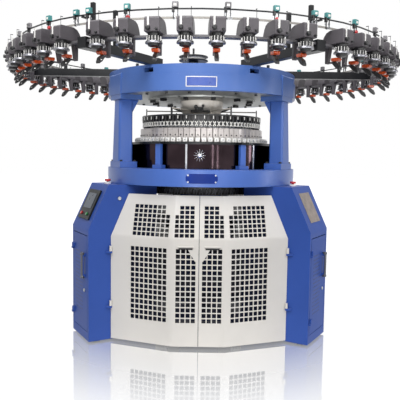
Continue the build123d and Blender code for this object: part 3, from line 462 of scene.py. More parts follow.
crown_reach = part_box("crown")[1].x / mm
crown_low = heights(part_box("crown"))[0]
crown_plate_blue = finish("plate_blue", (60, 84, 158), 0.3, scale=9.0, coat=0.2)
under_low, under_high = heights(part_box("crown_under_plate"))
# The crown's blue is a greyer copy of the bed's blue: painted sheen, the pale light that lies on the crown.
crown_sheen_blue = finish(
    "crown_sheen_blue", (66, 98, 161), 0.34, spread=0.06, scale=2.0, grain=900.0, skin=0.1, pale_top_share=0.15
)
dress(nodes["crown"], crown_sheen_blue, 4.0)
iron = finish("iron", (145, 147, 144), 0.4, metallic=0.55, spread=0.2, scale=14.0, grain=260.0, skin=0.25)
dress(nodes["crown_under_plate"], iron, 2.0)
rim_bolt = shifted(turned([(9, -11), (11, -8), (11, 0)], 12), 640, 0, under_high - 18)
rim_bolt_angles = np.arange(24) * 15 + 7.5
clamp_block = block(372, 418, under_low - 20, under_low + 2, 26)
clamp_angles = np.arange(12) * 30 + 13
plate_bolts = joined(around(rim_bolt, rim_bolt_angles), around(clamp_block, clamp_angles))
piece("under_plate_bolts", plate_bolts, "machine", "black_paint", black_paint, 1.0, 1)
cream_paint = finish(
    "cream_paint", (213, 209, 203), 0.42, spread=0.04, scale=2.5, grain=700.0, skin=0.1, pale_top_share=0.1
)
frame_low, frame_high = crown_low + 59, crown_low + 129
frame_half_width, frame_rim = 106, 6
light_frame = curved_plate(crown_reach, frame_half_width, frame_low, frame_high, 2)
piece("crown_plate_rim", light_frame, "machine", "cream_paint", cream_paint, 0.5)
crown_plate = curved_plate(
    crown_reach, frame_half_width - frame_rim, frame_low + frame_rim, frame_high - frame_rim, 4
)
piece("crown_bare_plate", crown_plate, "machine", "plate", crown_plate_blue, 0.5)


# Needle cylinder, its cover and the saddle ring: the cover is glossy dark enamel, the cylinder and the
# gears are ground steel. Six blue posts with feet stand round the cover under the saddle ring's lugs.
def hoop(inner, outer, low, high, steps):
    """A plain ring between two radii and two heights."""
    return turned([(inner, low), (outer, low), (outer, high), (inner, high)], steps, loop=True)


for name in ("needle_cylinder", "cylinder_gear", "dial", "dial_gear", "drive_shaft", "motor_pulley"):
    dress(nodes[name], steel, 0.8)
cover_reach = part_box("cylinder_cover")[1].x / mm
cover_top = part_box("cylinder_cover")[1].z / mm
sixths = np.arange(6) * 60
post_foot_top = bed_top + 26
saddle_post = joined(
    block(572, 628, bed_top, post_foot_top, 78),
    block(585, 615, post_foot_top, cover_top, 44),
)
piece("slim_posts", around(saddle_post, sixths), "machine", "blue_paint", blue_paint, 2.5,
      stands_for=("saddle_posts",))
gloss_enamel = finish("gloss_enamel", (52, 42, 46), 0.1, metallic=1.0, spread=0.3, scale=7.0, skin=0.02)
enamel_body = gloss_enamel.node_tree.nodes["Principled BSDF"]
enamel_body.inputs["Specular Tint"].default_value = (0.05, 0.04, 0.04, 1.0)
cover_wall = 12
piece("round_cover", hoop(cover_reach - cover_wall, cover_reach, bed_top, cover_top, 240), "machine",
      "black_paint", gloss_enamel, 2.0, stands_for=("cylinder_cover",))
dress(nodes["saddle_ring"], black_paint, 1.5)
cover_joint = block(cover_reach - 2, cover_reach + 3, bed_top + 2, cover_top - 1, 14)
joint_angles = (-100.5, -46, 14, 74, 134, 194)
piece("cover_joint_strips", around(cover_joint, joint_angles), "machine", "steel", steel, 1.0)


# Cover star: a chrome boss with twelve ribs at the middle of the cover's front, and twelve thin chrome rays
# on the cover that run out from behind it.
def facing(outline, inner, outer):
    """A closed (sideways, height) outline that looks outwards, carried from one radius to another."""
    points, faces = bar(outline, outer - inner, (inner + outer) / 2)
    return points[:, [1, 0, 2]], [group[:, ::-1] for group in faces]


def ribbed_boss(rows, ribs, level, steps=96):
    """Rows of (distance out, radius) turned about a line that runs outwards at a level: y is r cos a and z is
    the level plus r sin a, where r is the row's radius times 1 + 0.12 cos(ribs times a)."""
    turn = np.arange(steps) * 2 * np.pi / steps
    radius = rows[:, 1:] * (1 + 0.12 * np.cos(ribs * turn))
    out = np.repeat(rows[:, :1], steps, 1)
    points = np.stack([out, radius * np.cos(turn), level + radius * np.sin(turn)], -1).reshape(-1, 3)
    last = len(rows) - 1
    i, j = np.meshgrid(np.arange(last), np.arange(steps), indexing="ij")
    here, beside = i * steps + j, i * steps + (j + 1) % steps
    sides = np.stack([here, beside, beside + steps, here + steps], -1).reshape(-1, 4)
    return points, [sides, np.arange(steps)[::-1][None], (np.arange(steps) + last * steps)[None]]


star_level = (bed_top + cover_top) / 2 + 9
star_turn = -90.6
star_ribs = 12
star_rows = np.array([(-1, 19), (4, 20), (9, 17), (13, 11), (15, 4)]) + [cover_reach, 0]
ray_length = 44
ray = np.array([(0, -2.6), (ray_length, -0.8), (ray_length, 0.8), (0, 2.6)])
rays = []
for a in np.arange(star_ribs) * 2 * math.pi / star_ribs:
    flat = np.column_stack([ray @ [math.cos(a), -math.sin(a)], star_level + ray @ [math.sin(a), math.cos(a)]])
    rays.append(facing(flat, cover_reach - 2, cover_reach + 3))
chrome = finish("chrome", (206, 208, 212), 0.14, metallic=1.0, spread=0.05, scale=30.0)
star_part = joined(ribbed_boss(star_rows, star_ribs, star_level), *rays)
piece("cover_star", around(star_part, star_turn), "machine", "steel", chrome, 0.6, 1)

# Cam boxes: a ring of ground steel blocks over the needles, parted by gaps of three widths and held by a
# dark screw each. Under each sits a small white stitch adjuster with its own screw.
cam_low, cam_high = heights(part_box("cam_boxes"))
cam_inner, cam_reach = 446.0, 487.0
cam_bevel = 4
cam_count = 72
cam_angles = (np.arange(cam_count) + 0.5) * 360 / cam_count
bright_steel = finish(
    "bright_steel", (184, 178, 175), 0.3, metallic=0.35, spread=0.07, scale=20.0, stretch=(1, 1, 4)
)
cams = []
for k, gap in enumerate((2.0, 3.0, 8.0)):
    width = 2 * cam_reach * math.sin(math.pi / cam_count) - gap
    cam = bar(
        [(cam_inner, cam_low), (cam_reach, cam_low), (cam_reach, cam_high - cam_bevel),
         (cam_reach - cam_bevel, cam_high), (cam_inner, cam_high)],
        width,
    )
    cams.append(around(cam, cam_angles[k::3]))
piece("cam_ring", joined(*cams), "machine", "bright_steel", bright_steel, 1.2, 1, stands_for=("cam_boxes",))
cam_back = hoop(cam_inner - 8, cam_inner + 1, cam_low, cam_high - 6, 144)
piece("cam_backing", cam_back, "machine", "black_paint", black_paint, 0)
cam_screw = shifted(pointing_out(screw_head(6, 4), 0, cam_low + 52), cam_reach - 2)
piece("cam_screws", around(cam_screw, cam_angles), "machine", "black_paint", black_paint, 0)
white_plastic = finish("white_plastic", (232, 230, 226), 0.35, spread=0.04, scale=12.0)
adjuster_low, adjuster_high = heights(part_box("stitch_adjusters"))
adjuster_inner, adjuster_reach = 498, 530
adjuster = bar(
    [(adjuster_inner, adjuster_low), (adjuster_reach, adjuster_low), (adjuster_reach, adjuster_high - 6),
     (adjuster_reach - 8, adjuster_high), (adjuster_inner, adjuster_high)],
    32,
)
piece("adjuster_blocks", around(adjuster, cam_angles), "machine", "bright_steel", white_plastic, 1.5, 1,
      stands_for=("stitch_adjusters",))
adjuster_screw = shifted(pointing_out(screw_head(6, 4), 0, adjuster_low + 16), adjuster_reach - 1)
piece("adjuster_screws", around(adjuster_screw, cam_angles), "machine", "steel", steel, 0)

# Dial hub: a cast cone in beige-grey paint that carries the dial's cam plate, with rods out to the guide
# ring. A black bearing block sits on its front, and four black brackets stand around it.
def from_level(level, *points, reach=0.0):
    """An outline whose heights count from a level, and its radii from a reach."""
    return [(reach + radius, level + height) for radius, height in points]


hub_low, hub_high = heights(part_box("dial_hub"))
hub_foot = hub_low + 30
hub_reach, hub_waist, hub_neck = 440, 126, 171
ring_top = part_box("yarn_guide_ring")[1].z / mm
grey_paint = finish("grey_paint", (232, 225, 216), 0.36, spread=0.08, scale=4.0, grain=600.0, pale_top_share=0.2)
rod_level = hub_low + 98
rod_width = 9
hub = turned(
    [(hub_reach, hub_low), (hub_reach, hub_foot - 4), (hub_reach - 4, hub_foot), (hub_waist + 4, hub_foot),
     (hub_waist, hub_foot + 6), (hub_neck, hub_high - 62), (hub_neck, hub_high)],
    120,
)
rod = block(130, 444, rod_level, rod_level + rod_width, rod_width)
rod_end = block(438, 446, ring_top - 4, rod_level + 20, rod_width)
piece("hub_cone", joined(hub, around(rod, sixths)), "machine", "grey_paint", grey_paint, 1.0,
      stands_for=("dial_hub",))
bearing_block = joined(
    bar(from_level(rod_level, (128, -14), (206, -14), (202, 4), (132, 4)), 150, 2),
    bar(from_level(rod_level, (140, 0), (190, 0), (186, 26), (140, 34)), 60, -6),
    shifted(pointing_out(turned([(14, 0), (14, 40), (10, 46)], 20), -34, rod_level + 32), 142),
    shifted(pointing_out(turned([(10, 0), (10, 46), (7, 50)], 16), 22, rod_level + 38), 142),
)
bracket = joined(
    bar(from_level(rod_level, (128, -12), (140, -12), (236, 24), (236, 34), (200, 32)), 16),
    block(234, 239, rod_level - 20, rod_level + 44, 5),
)
bracket_angles = (-170, -10, 50, 110)
black_plastic = finish(
    "black_plastic", (22, 22, 24), 0.4, spread=0.25, scale=20.0, grain=1200.0, skin=0.2, pale_top_share=0.3
)
hub_parts = joined(around(bearing_block, -93), around(rod_end, sixths), around(bracket, bracket_angles))
piece("hub_front_block", hub_parts, "machine", "black_plastic", black_plastic, 1.0)

# Yarn guide ring: a black ring that holds two rows of guides, dark levers above and white eyelets below.
# Each guide is its own small lever; the eyelets are glazed ceramic.
guide_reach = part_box("yarn_guide_ring")[1].x / mm
guide_angles = np.arange(90) * 4
ring_inner = 451
ring_profile = from_level(
    ring_top, (ring_inner, -84), (ring_inner + 4, -84), (ring_inner + 4, -12), (guide_reach, -12),
    (guide_reach, 0), (ring_inner, 0),
)
guide_ring = turned(ring_profile, 180, loop=True)
lever_outline = from_level(
    ring_top, (-18, -10), (-4, -10), (-2, -44), (-12, -92), (-22, -92), (-16, -44), reach=guide_reach
)
lever = bar(lever_outline, 13)
piece("guide_levers", joined(guide_ring, around(lever, guide_angles)), "machine", "black_plastic",
      black_plastic, 0.8, 1, stands_for=("yarn_guide_ring",))
slant = from_level(ring_top, (-13, -86), (-6, -86), (13, -52), (6, -52))
slant = facing(slant, guide_reach - 10, guide_reach - 3)
crossed = joined(slant, (slant[0] * [1, -1, 1], [group[:, ::-1] for group in slant[1]]))
pin = from_level(ring_top, (-3, -34), (3, -34), (3, -12), (-3, -12))
pin = facing(pin, guide_reach - 4, guide_reach + 1)
ceramic = finish("ceramic", (236, 234, 228), 0.18, spread=0.03, scale=30.0, coat=0.5)
eyelet_parts = joined(around(crossed, guide_angles + 2), around(pin, guide_angles[::2] + 1))
piece("guide_eyelets", eyelet_parts, "machine", "bright_steel", ceramic, 0)

# Arms, clamps, posts and ring of the yarn supply: square steel tube and flat ring in black paint.
# The arms lie on the crown and end in clamp blocks that hold the feeder ring; sleeves lengthen the posts.
for name in ("feeder_arms", "arm_clamps", "hoop_posts", "upper_hoop"):
    dress(nodes[name], black_paint, 1.5)
arm_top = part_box("feeder_arms")[1].z / mm
sleeve_length = 2259 - arm_top
sleeve_outline = ((-12, 0), (12, 0), (12, sleeve_length - 3), (10, sleeve_length), (-10, sleeve_length),
                  (-12, sleeve_length - 3))
sleeves = joined(*[bar(from_level(arm_top, *sleeve_outline, reach=r), 24) for r in (1307, 1095)])
piece("post_sleeves", around(sleeves, sixths), "machine", "black_paint", black_paint, 1.5)
ring_grey = finish("ring_grey", (104, 102, 105), 0.4, metallic=0.3, spread=0.12, scale=9.0)
dress(nodes["feeder_ring"], ring_grey, 1.5)

# Yarn feeder housings: 48 cases moulded in grey plastic, clamped on the feeder ring with a leg inside it.
# Each has a light slot, a tension knob, a black grip and a wire hook at its outer end.
feeder_low, feeder_high = heights(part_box("feeder_housings"))
lamp_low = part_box("feeder_lamps")[0].z / mm
leg_low = lamp_low - 8
feeder_angles = np.concatenate([bay + 30 + (np.arange(8) - 3.5) * 7.0 for bay in sixths])
feeder_grey = finish(
    "feeder_grey", (82, 78, 82), 0.42, spread=0.12, scale=8.0, grain=1500.0, skin=0.25, pale_top_share=0.1, shine=0.35
)
case_inner, case_outer = 1318, 1488
housing = bar(
    [(case_inner, feeder_low), (case_outer, feeder_low), (case_outer, feeder_high - 12),
     (case_outer - 12, feeder_high - 2), (1380, feeder_high - 2), (1352, feeder_high - 12),
     (1332, feeder_high - 34), (case_inner, feeder_high - 62)],
    88,
)
back_leg = joined(
    bar([(1320, leg_low), (1336, leg_low), (1356, feeder_low + 4), (case_inner, feeder_low + 4)], 32),
    block(1321, 1386, leg_low, leg_low + 9, 24),
)
piece("feeder_cases", around(joined(housing, back_leg), feeder_angles), "machine", "feeder_grey", feeder_grey,
      5.0, 3, stands_for=("feeder_housings",))
slot_strip = facing(
    [(-26, feeder_low + 30), (-15, feeder_low + 30), (-15, feeder_high + 5), (-26, feeder_high + 5)],
    case_outer - 5, case_outer + 2,
)
piece("feeder_slots", around(slot_strip, feeder_angles), "machine", "bright_steel", white_plastic, 0.8, 1)
knob = turned([(10, 0), (13, 3), (13, 16), (10, 20), (5, 21)], 16)
knob = shifted(pointing_out(knob, -20, feeder_low + 20), case_outer - 2)
ring_grip = shifted(
    pointing_out(turned([(7, 0), (7, 14), (4, 16)], 12), 28, feeder_low + 12), case_outer - 2
)
wire_side = 34
wire = turned([(1.6, feeder_high - 3), (1.6, feeder_high + 46)], 6, (1472, wire_side))
hook = block(1456, 1474, feeder_high + 44, feeder_high + 48, 4, wire_side)
piece("feeder_knobs", around(joined(knob, ring_grip, wire, hook), feeder_angles), "machine", "black_plastic",
      black_plastic, 0.8, 1)

# Yarn wheels, guide arms and lamps: under each housing a black spool turned from plastic, with light cage
# bars round it and an aluminium disc below; behind it a black finger with a ceramic eye and an amber lamp.
wheel_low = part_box("feeder_wheels")[0].z / mm
wheel_centre = 1438.0
ring_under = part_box("feeder_ring")[0].z / mm
spool = turned(
    [(24, wheel_low - 16), (33, wheel_low - 12), (34, wheel_low + 1), (38, wheel_low + 14),
     (38, ring_under - 6), (34, ring_under - 2), (34, feeder_low + 1)],
    24, (wheel_centre, 0),
)
piece("feeder_spools", around(spool, feeder_angles), "machine", "black_plastic", black_plastic, 0,
      stands_for=("feeder_wheels",))
aluminium = finish("aluminium", (140, 140, 146), 0.32, metallic=0.85, spread=0.12, scale=30.0)
disc = turned(
    from_level(wheel_low, (36, 0), (48, 0), (49, 5), (46, 12), (39, 15)), 32, (wheel_centre, 0)
)
piece("feeder_discs", around(disc, feeder_angles), "machine", "aluminium", aluminium, 0)
cage_radius, cage_bar_count = 40.5, 14
cage_bars = joined(*[
    turned(
        [(2.0, wheel_low + 13), (2.0, ring_under - 5)], 5,
        (wheel_centre + cage_radius * math.cos(a), cage_radius * math.sin(a)),
    )
    for a in 2 * np.pi * np.arange(cage_bar_count) / cage_bar_count
])
piece("feeder_cages", around(cage_bars, feeder_angles), "machine", "bright_steel", white_plastic, 0)
tip_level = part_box("feeder_guide_arms")[0].z / mm
finger = bar(
    [(1362, leg_low + 2), (1392, leg_low + 8), (1424, tip_level + 36), (1436, tip_level + 12),
     (1434, tip_level), (1427, tip_level + 2), (1402, tip_level + 16), (1376, tip_level + 42)],
    24,
)
piece("guide_fingers", around(finger, feeder_angles), "machine", "black_plastic", black_plastic, 3.0, 2,
      stands_for=("feeder_guide_arms",))
eyelet = shifted(turned([(6, -3), (6, 3)], 12), 1414, 10, tip_level + 24)
piece("guide_eyes", around(eyelet, feeder_angles), "machine", "bright_steel", ceramic, 0)
amber = finish("amber", (206, 78, 28), 0.3, spread=0.35, scale=40.0, coat=0.3)
lamp_lens = bar(from_level(lamp_low, (1372, 2), (1412, -2), (1426, 8), (1422, 20), (1372, 22)), 40)
piece("lamp_lenses", around(lamp_lens, feeder_angles), "machine", "amber", amber, 4.0, 2,
      stands_for=("feeder_lamps",))

# Toothed tape: a beige belt that runs over the feeder pulleys. The quality pulley that drives it has two
# black discs on a stand, with the tape's light wrap between them.
tape_finish = finish("tape", (150, 146, 140), 0.6, scale=30.0)
tape_low, tape_high = heights(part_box("feeder_tape"))
piece("round_tape", hoop(1393, 1396, tape_low, tape_high, 192), "machine", "tape", tape_finish, 0,
      stands_for=("feeder_tape",))
dress(nodes["quality_stand"], black_paint, 1.5)
quality_low, quality_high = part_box("quality_pulley")
quality_x = (quality_low.x + quality_high.x) / 2 / mm
quality_reach = (quality_high.x - quality_low.x) / 2 / mm
quality_top = quality_high.z / mm
quality_axis = (quality_x, 0)
disc_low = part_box("quality_stand")[1].z / mm + 1
disc_high = disc_low + 40
lower_disc = from_level(
    disc_low, (14, 0), (quality_reach - 2, 0), (quality_reach, 3), (quality_reach, 9), (84, 10)
)
upper_disc = from_level(
    disc_low, (84, 30), (quality_reach, 31), (quality_reach, 37), (quality_reach - 2, 40), (16, 40)
)
quality_discs = joined(
    turned(lower_disc, 72, quality_axis),
    turned(upper_disc, 72, quality_axis),
    turned([(8, disc_high), (8, quality_top - 2), (6, quality_top)], 16, quality_axis),
)
piece("quality_discs", quality_discs, "quality_pulley", "aluminium", black_paint, 1.0, 1,
      stands_for=("quality_pulley",))
quality_wrap = turned(from_level(disc_low, (86, 9), (88, 12), (88, 28), (86, 31)), 72, quality_axis)
piece("quality_wrap", quality_wrap, "quality_pulley", "aluminium", white_plastic, 0)

# Stop motions: boxes moulded in teal, or in grey at each bay's middle, on black clips that grip the hoop.
# Each has a white lens and steel wire eyelets below; every third has a red flag lamp.
teal = finish("teal", (62, 128, 128), 0.4, spread=0.12, scale=10.0, pale_top_share=0.2)
stop_low, stop_high = heights(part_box("stop_motions"))
stop_places = np.array([-28, -17.5, -6, 6, 17.5, 28])
stop_angles = np.concatenate([bay + 30 + stop_places for bay in sixths])
middle_stops = np.tile(np.abs(stop_places) < 10, len(sixths))
stop_box = bar(
    [(1386, stop_low), (1414, stop_low), (1414, stop_high - 4), (1410, stop_high), (1388, stop_high)], 33
)
piece("stop_boxes", around(stop_box, stop_angles[~middle_stops]), "machine", "teal", teal, 2.0, 1,
      stands_for=("stop_motions",))
piece("grey_stop_boxes", around(stop_box, stop_angles[middle_stops]), "machine", "steel", ring_grey, 2.0, 1)
clip = joined(
    block(1392, 1408, stop_low - 22, stop_low + 8, 14, -12),
    block(1396, 1404, stop_low - 62, stop_low - 8, 4, -10),
    block(1396, 1404, stop_low - 44, stop_low - 8, 4, 14),
)
piece("stop_clips", around(clip, stop_angles), "machine", "black_plastic", black_plastic, 0.8, 1)
wire_eyes = joined(*[
    shifted(pointing_out(hoop(5, 8, 0, 3, 16), side, stop_low - drop), 1399)
    for side, drop in ((-14, 34), (12, 30), (-4, 56), (16, 52))
])
piece("stop_wire_eyes", around(wire_eyes, stop_angles), "machine", "steel", steel, 0)
red_plastic = finish("red_plastic", (186, 28, 36), 0.3, spread=0.15, scale=20.0, coat=0.3)
flag = joined(
    shifted(pointing_out(turned([(12, 0), (12, 10), (8, 16)], 16), 6, stop_low - 42), 1398),
    shifted(pointing_out(hoop(6, 9, 0, 4, 16), 2, stop_low - 64), 1400),
)
piece("stop_flags", around(flag, stop_angles[1::3]), "machine", "red_plastic", red_plastic, 0.8, 1)
lens = block(1412, 1416, stop_low + 8, stop_low + 22, 16)
piece("stop_lenses", around(lens, stop_angles), "machine", "bright_steel", ceramic, 0.8, 1)

# Take-down under the bed: a ribbed black ring with steel pins on it, which turns with the cylinder, and a
# black frame with rubber and steel rollers. The motor and its belt are dressed here too.
dress(nodes["takedown_frame"], black_paint, 1.5)
take_low, take_high = heights(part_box("takedown_ring"))
drum_inner, drum_wall, drum_reach = 405, 446, 466
drum = turned(
    [(drum_inner, take_low), (drum_wall, take_low), (drum_wall, take_high - 24),
     (drum_reach, take_high - 24), (drum_reach, take_high), (drum_inner, take_high)],
    180, loop=True,
)
rib = block(440, 455, take_low + 2, take_high - 30, 16)
rib_angles = np.arange(60) * 6
piece("ribbed_drum", joined(drum, around(rib, rib_angles)), "cylinder", "black_paint", black_plastic, 0,
      stands_for=("takedown_ring",))
pins = joined(*[
    facing([(side, low), (side + 2.5, low), (side + 5, low + tall), (side + 2.5, low + tall)], 452, 457)
    for side, low, tall in (
        (-14, take_low + 6, 30), (-4, take_low + 14, 34), (7, take_low + 4, 38), (17, take_low + 20, 24)
    )
])
pin_steel = finish("pin_steel", (112, 114, 122), 0.4, metallic=0.8, spread=0.3, scale=40.0)
piece("drum_pins", around(pins, rib_angles + 1.3), "cylinder", "steel", pin_steel, 0)
rubber = finish("rubber", (36, 36, 38), 0.7, spread=0.2, scale=30.0)
for name, material, edge in (
    ("draw_roller", rubber, 1.0), ("nip_roller", steel, 1.0), ("cloth_roller", aluminium, 1.0),
    ("motor", grey_paint, 2.0), ("drive_belt", rubber, 0),
):
    dress(nodes[name], material, edge)

# Gates: each leaf is one sheet of cream-painted steel, folded once upright and once at the shoulder,
# with square holes punched in four fields. A near-black sheet behind the fields and the seam paints the shade
# inside the gate. It hangs on lugs round a pin, and a grip sits under the shoulder, with a black strip below
# it that paints the grip's shadow.
gate_low, gate_high = heights(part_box("gate_front_a"))
sheet_low = gate_low - 16
shoulder = 768.0
lean_in = 106.0
fold_x, front_y = 188.0, -750.0
wing_angle = math.radians(20.56)
wing_length = 477.2
seam = -186.0
fold_strip = 29.0
sheet_thickness = 4.0
lower_rows = 188 + 37.7 * np.arange(14)
upper_rows = 787 + 31.3 * np.arange(7)
lower_hole, upper_hole, column_hole = 30.0, 25.0, 29.0
flat_steps, wing_steps = 36.0 * np.arange(4) + column_hole, 35.5 * np.arange(8)
lower_columns = np.concatenate([-28 - flat_steps, 40 + wing_steps])
upper_columns = np.concatenate([-16 - flat_steps, 30 + wing_steps])


def leaf_place(along, height):
    """Place on a leaf: from the upright fold, back along the flat front or out along the slanted wing, moved
    in by the lean above the shoulder. The fold itself moves along the line that halves the angle of the two
    parts; of the flat, only the strip beside the fold follows."""
    inward = np.maximum(height - shoulder, 0) / (gate_high - shoulder) * lean_in
    wing = np.maximum(along, 0)
    flat = np.minimum(along, 0)
    follow = np.clip(1 + along / fold_strip, 0, 1)
    x = fold_x - inward * math.tan(wing_angle / 2) * follow + flat + wing * math.cos(wing_angle)
    y = front_y + inward + wing * math.sin(wing_angle)
    return np.stack([x, y, height], -1)


def inside(values, starts, size):
    """Whether each value lies in one of the intervals that begin at the starts."""
    return np.any((values[:, None] > starts) & (values[:, None] < starts + size), axis=1)


def leaf_sheet():
    """The leaf's grid of lines along and up, with a face in each cell that is not a hole. The wing's outer
    edge comes in with the lean, and the top rows beside the fold are not punched."""
    edge_taper = 1.004
    shut_from, shut_to, first_shut_row = -50, 62, 5
    along = np.unique(np.concatenate([
        [seam, 0.0, wing_length],
        lower_columns, lower_columns + column_hole, upper_columns, upper_columns + column_hole,
    ]))
    height = np.unique(np.concatenate([
        [sheet_low, shoulder, gate_high],
        lower_rows, lower_rows + lower_hole, upper_rows, upper_rows + upper_hole,
    ]))
    u, z = np.meshgrid(along, height, indexing="ij")
    inward = np.maximum(z - shoulder, 0) / (gate_high - shoulder) * lean_in
    u = np.where(u == along[-1], u - edge_taper * inward, u)
    points = leaf_place(u, z).reshape(-1, 3)
    mid_u, mid_z = (along[1:] + along[:-1]) / 2, (height[1:] + height[:-1]) / 2
    open_cell = (
        inside(mid_u, lower_columns, column_hole)[:, None] & inside(mid_z, lower_rows, lower_hole)
        | inside(mid_u, upper_columns, column_hole)[:, None] & inside(mid_z, upper_rows, upper_hole)
    )
    by_fold = (mid_u > shut_from) & (mid_u < shut_to)
    shut_corner = by_fold[:, None] & (mid_z > upper_rows[first_shut_row] - 2)
    i, j = np.nonzero(~open_cell | shut_corner)
    n = len(height)
    return points, [np.column_stack([i * n + j, (i + 1) * n + j, (i + 1) * n + j + 1, i * n + j + 1])]


def patch(first, last, low, high):
    """One face on the leaf between two places along and two heights."""
    u, z = np.meshgrid([first, last], [low, high], indexing="ij")
    return leaf_place(u, z).reshape(-1, 3), [np.array([[0, 2, 3, 1]])]


def hole_shade_sheet():
    """A dark strip behind the seam and four patches behind the hole fields, which paint the shade inside the
    gate. A patch spans a field's first to last hole and crosses no fold; on the wing's upper field it starts
    at the fourth column."""
    patches = [patch(seam - 1.5, seam + 5, gate_low - 14, gate_high - 4)]
    margin = 6
    for columns, rows, hole, first_on_wing in (
        (lower_columns, lower_rows, lower_hole, 4), (upper_columns, upper_rows, upper_hole, 7)
    ):
        for group in (columns[:4], columns[first_on_wing:]):
            first, last = min(group) - margin, max(group) + column_hole + margin
            patches.append(patch(first, last, rows[0] - margin, rows[-1] + hole + margin))
    return joined(*patches)


def mirrored(part):
    """The other leaf of a pair: the part's mirror image across the seam."""
    return part[0] * [-1, 1, 1], [group[:, ::-1] for group in part[1]]


def on_front(outline, width, middle):
    """A (distance out, height) outline set on the gate's flat front, with its width along the front."""
    points, faces = bar(outline, width)
    return points[:, [1, 0, 2]] * [1, -1, 1] + [middle, front_y, 0], [group[:, ::-1] for group in faces]


def thicken(made, thickness):
    """Gives a sheet its thickness, inwards from the face, before its edges are shaded."""
    solid = made.modifiers.new("sheet_thickness", "SOLIDIFY")
    solid.thickness = thickness * mm
    solid.offset = -1
    made.modifiers.move(len(made.modifiers) - 1, 1)


sheet = leaf_sheet()
grip_level = 724.0
grip_middle = 93
grip = on_front(from_level(grip_level, (-2, -10), (14, -3), (14, 4), (-2, 4)), 110, grip_middle)
# A black strip just under the grip: painted shadow that the grip casts on the sheet.
painted_grip_shadow = on_front(from_level(grip_level, (-1, -20), (4, -20), (4, -9), (-1, -9)), 96, grip_middle)
gusset = np.array([(-184, 716), (-184, 622), (-160, 622), (-112, 704), (-112, 716)])
gusset = (leaf_place(gusset[:, 0], gusset[:, 1]) + [0, 1.0, 0], [np.arange(5)[::-1][None]])
# Painted shade: a near-black, partly clear sheet set behind the holes and the seam, for the dark inside of
# the gate.
hole_shade = finish("hole_shade", (20, 21, 30), 0.8, spread=0.3, grain=300.0, shine=0.1)
hole_shade.node_tree.nodes["Principled BSDF"].inputs["Alpha"].default_value = 0.88
hinge_axis = (634.1, -596.5)
lugs = joined(*[turned([(9, level), (9, level + 40)], 14, hinge_axis) for level in (262, 660)])
for gate, angle in (("front", 0), ("rear_right", 120), ("rear_left", 240)):
    for leaf, shape in (("a", lambda part: part), ("b", mirrored)):
        body = f"gate_{gate}_{leaf}"
        panel = piece(f"leaf_{gate}_{leaf}", around(shape(sheet), angle), body, "cream_paint", cream_paint, 0,
                      stands_for=(body,))
        thicken(panel, sheet_thickness)
        backing = piece(f"gauze_{gate}_{leaf}", around(shape(hole_shade_sheet()), angle), body, "black_plastic",
                        hole_shade, 0)
        behind = backing.modifiers.new("behind_sheet", "DISPLACE")
        behind.mid_level = 0.0
        behind.strength = -7 * mm
        latch = piece(f"latch_plate_{gate}_{leaf}", around(shape(gusset), angle), body, "cream_paint",
                      cream_paint, 0)
        thicken(latch, 2)
        piece(f"grip_{gate}_{leaf}", around(shape(joined(grip, lugs)), angle), body, "cream_paint",
              cream_paint, 1.0, 1)
        piece(f"grip_painted_shadow_{gate}_{leaf}", around(shape(painted_grip_shadow), angle), body, "black_plastic",
              black_plastic, 0.5, 1)

# Cabinet doors in the legs' outer faces, painted as the legs, with a dark bar handle on two end rings,
# a round steel lock and rows of vent holes, drawn as black discs that paint the shade in the holes. The hinge
# pins are painted over.
leg_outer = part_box("legs")[1].y / mm
dress(nodes["hinge_pins"], leg_blue, 0.5)
dark_steel = finish("dark_steel", (92, 94, 100), 0.42, metallic=0.6, spread=0.12, scale=20.0)
handle_side = 100
handle_low, handle_high = 470, 640
rail_profile = [(8, handle_low), (10, handle_low + 4), (10, handle_high - 4), (8, handle_high)]
handle_rail = shifted(turned(rail_profile, 20), leg_outer + 20, handle_side)
end_ring = turned([(13, 0), (15, 4), (15, 14), (12, 18)], 20)
handle_ends = joined(*[
    shifted(end_ring, leg_outer + 18, handle_side, z) for z in (handle_low - 8, handle_high - 10)
])
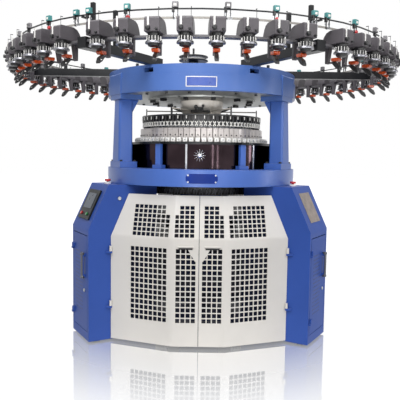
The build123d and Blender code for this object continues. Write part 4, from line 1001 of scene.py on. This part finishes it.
# Each vent hole is a flat black disc on the door: painted shade, not an opening.
vent = pointing_out(turned([(5, -1.5), (5, 0.6)], 8))
vent_sides, vent_levels = np.linspace(-90, 40, 6), np.linspace(220, 640, 16)
vents = joined(*[shifted(vent, leg_outer, side, z) for side in vent_sides for z in vent_levels])
lock = shifted(pointing_out(screw_head(12, 8)), leg_outer, handle_side, 374)
for name, angle in zip(("left", "right", "rear"), leg_angles):
    door = f"cabinet_door_{name}"
    dress(nodes[door], leg_blue, 1.5)
    handle = around(joined(handle_rail, handle_ends), angle)
    piece(f"door_handle_{name}", handle, door, "steel", dark_steel, 0)
    piece(f"door_lock_{name}", around(lock, angle), door, "steel", steel, 0)
    piece(f"door_vents_{name}", around(vents, angle), door, "black_paint", black_paint, 0)

# Control panel, screen and push buttons on the left leg, a bare plate on the right leg, and the emergency
# stops on the legs' tops: moulded plastic in black, red and green, held from inside the sheet.
panel_black = finish(
    "panel_black", (16, 20, 22), 0.42, spread=0.2, scale=20.0, grain=1200.0, skin=0.2, shine=0.2
)
screen_glass = finish("screen", (66, 76, 90), 0.3, spread=0.15, scale=14.0, shine=0.3)
bare_plate = finish("bare_plate", (138, 126, 118), 0.4, spread=0.3, scale=22.0, shine=0.35)
green_plastic = finish("green_plastic", (30, 112, 58), 0.3, scale=20.0, coat=0.3)
for name, material, edge in (
    ("control_panel", panel_black, 3.0), ("panel_screen", screen_glass, 1.0),
    ("slope_plate", bare_plate, 1.0), ("stop_collars", white_plastic, 1.0),
    ("stop_button", red_plastic, 1.0), ("start_button", green_plastic, 1.0),
    ("emergency_stop_left", red_plastic, 2.0), ("emergency_stop_right", red_plastic, 2.0),
    ("control_gear", grey_paint, 1.0), ("oil_tank", grey_paint, 3.0),
):
    dress(nodes[name], material, edge)
lock_points, lock_faces = turned([(9, 0), (14, 0), (14, 5), (12, 8), (8, 8), (7, 3)], 24)
lock_along, lock_side, lock_level = 776, 183, 1037
side_lock = (lock_points[:, [0, 2, 1]] * [1, 1, -1] + [lock_along, lock_side, lock_level], lock_faces)
piece("leg_locks", around(side_lock, leg_angles[0]), "machine", "steel", steel, 0)
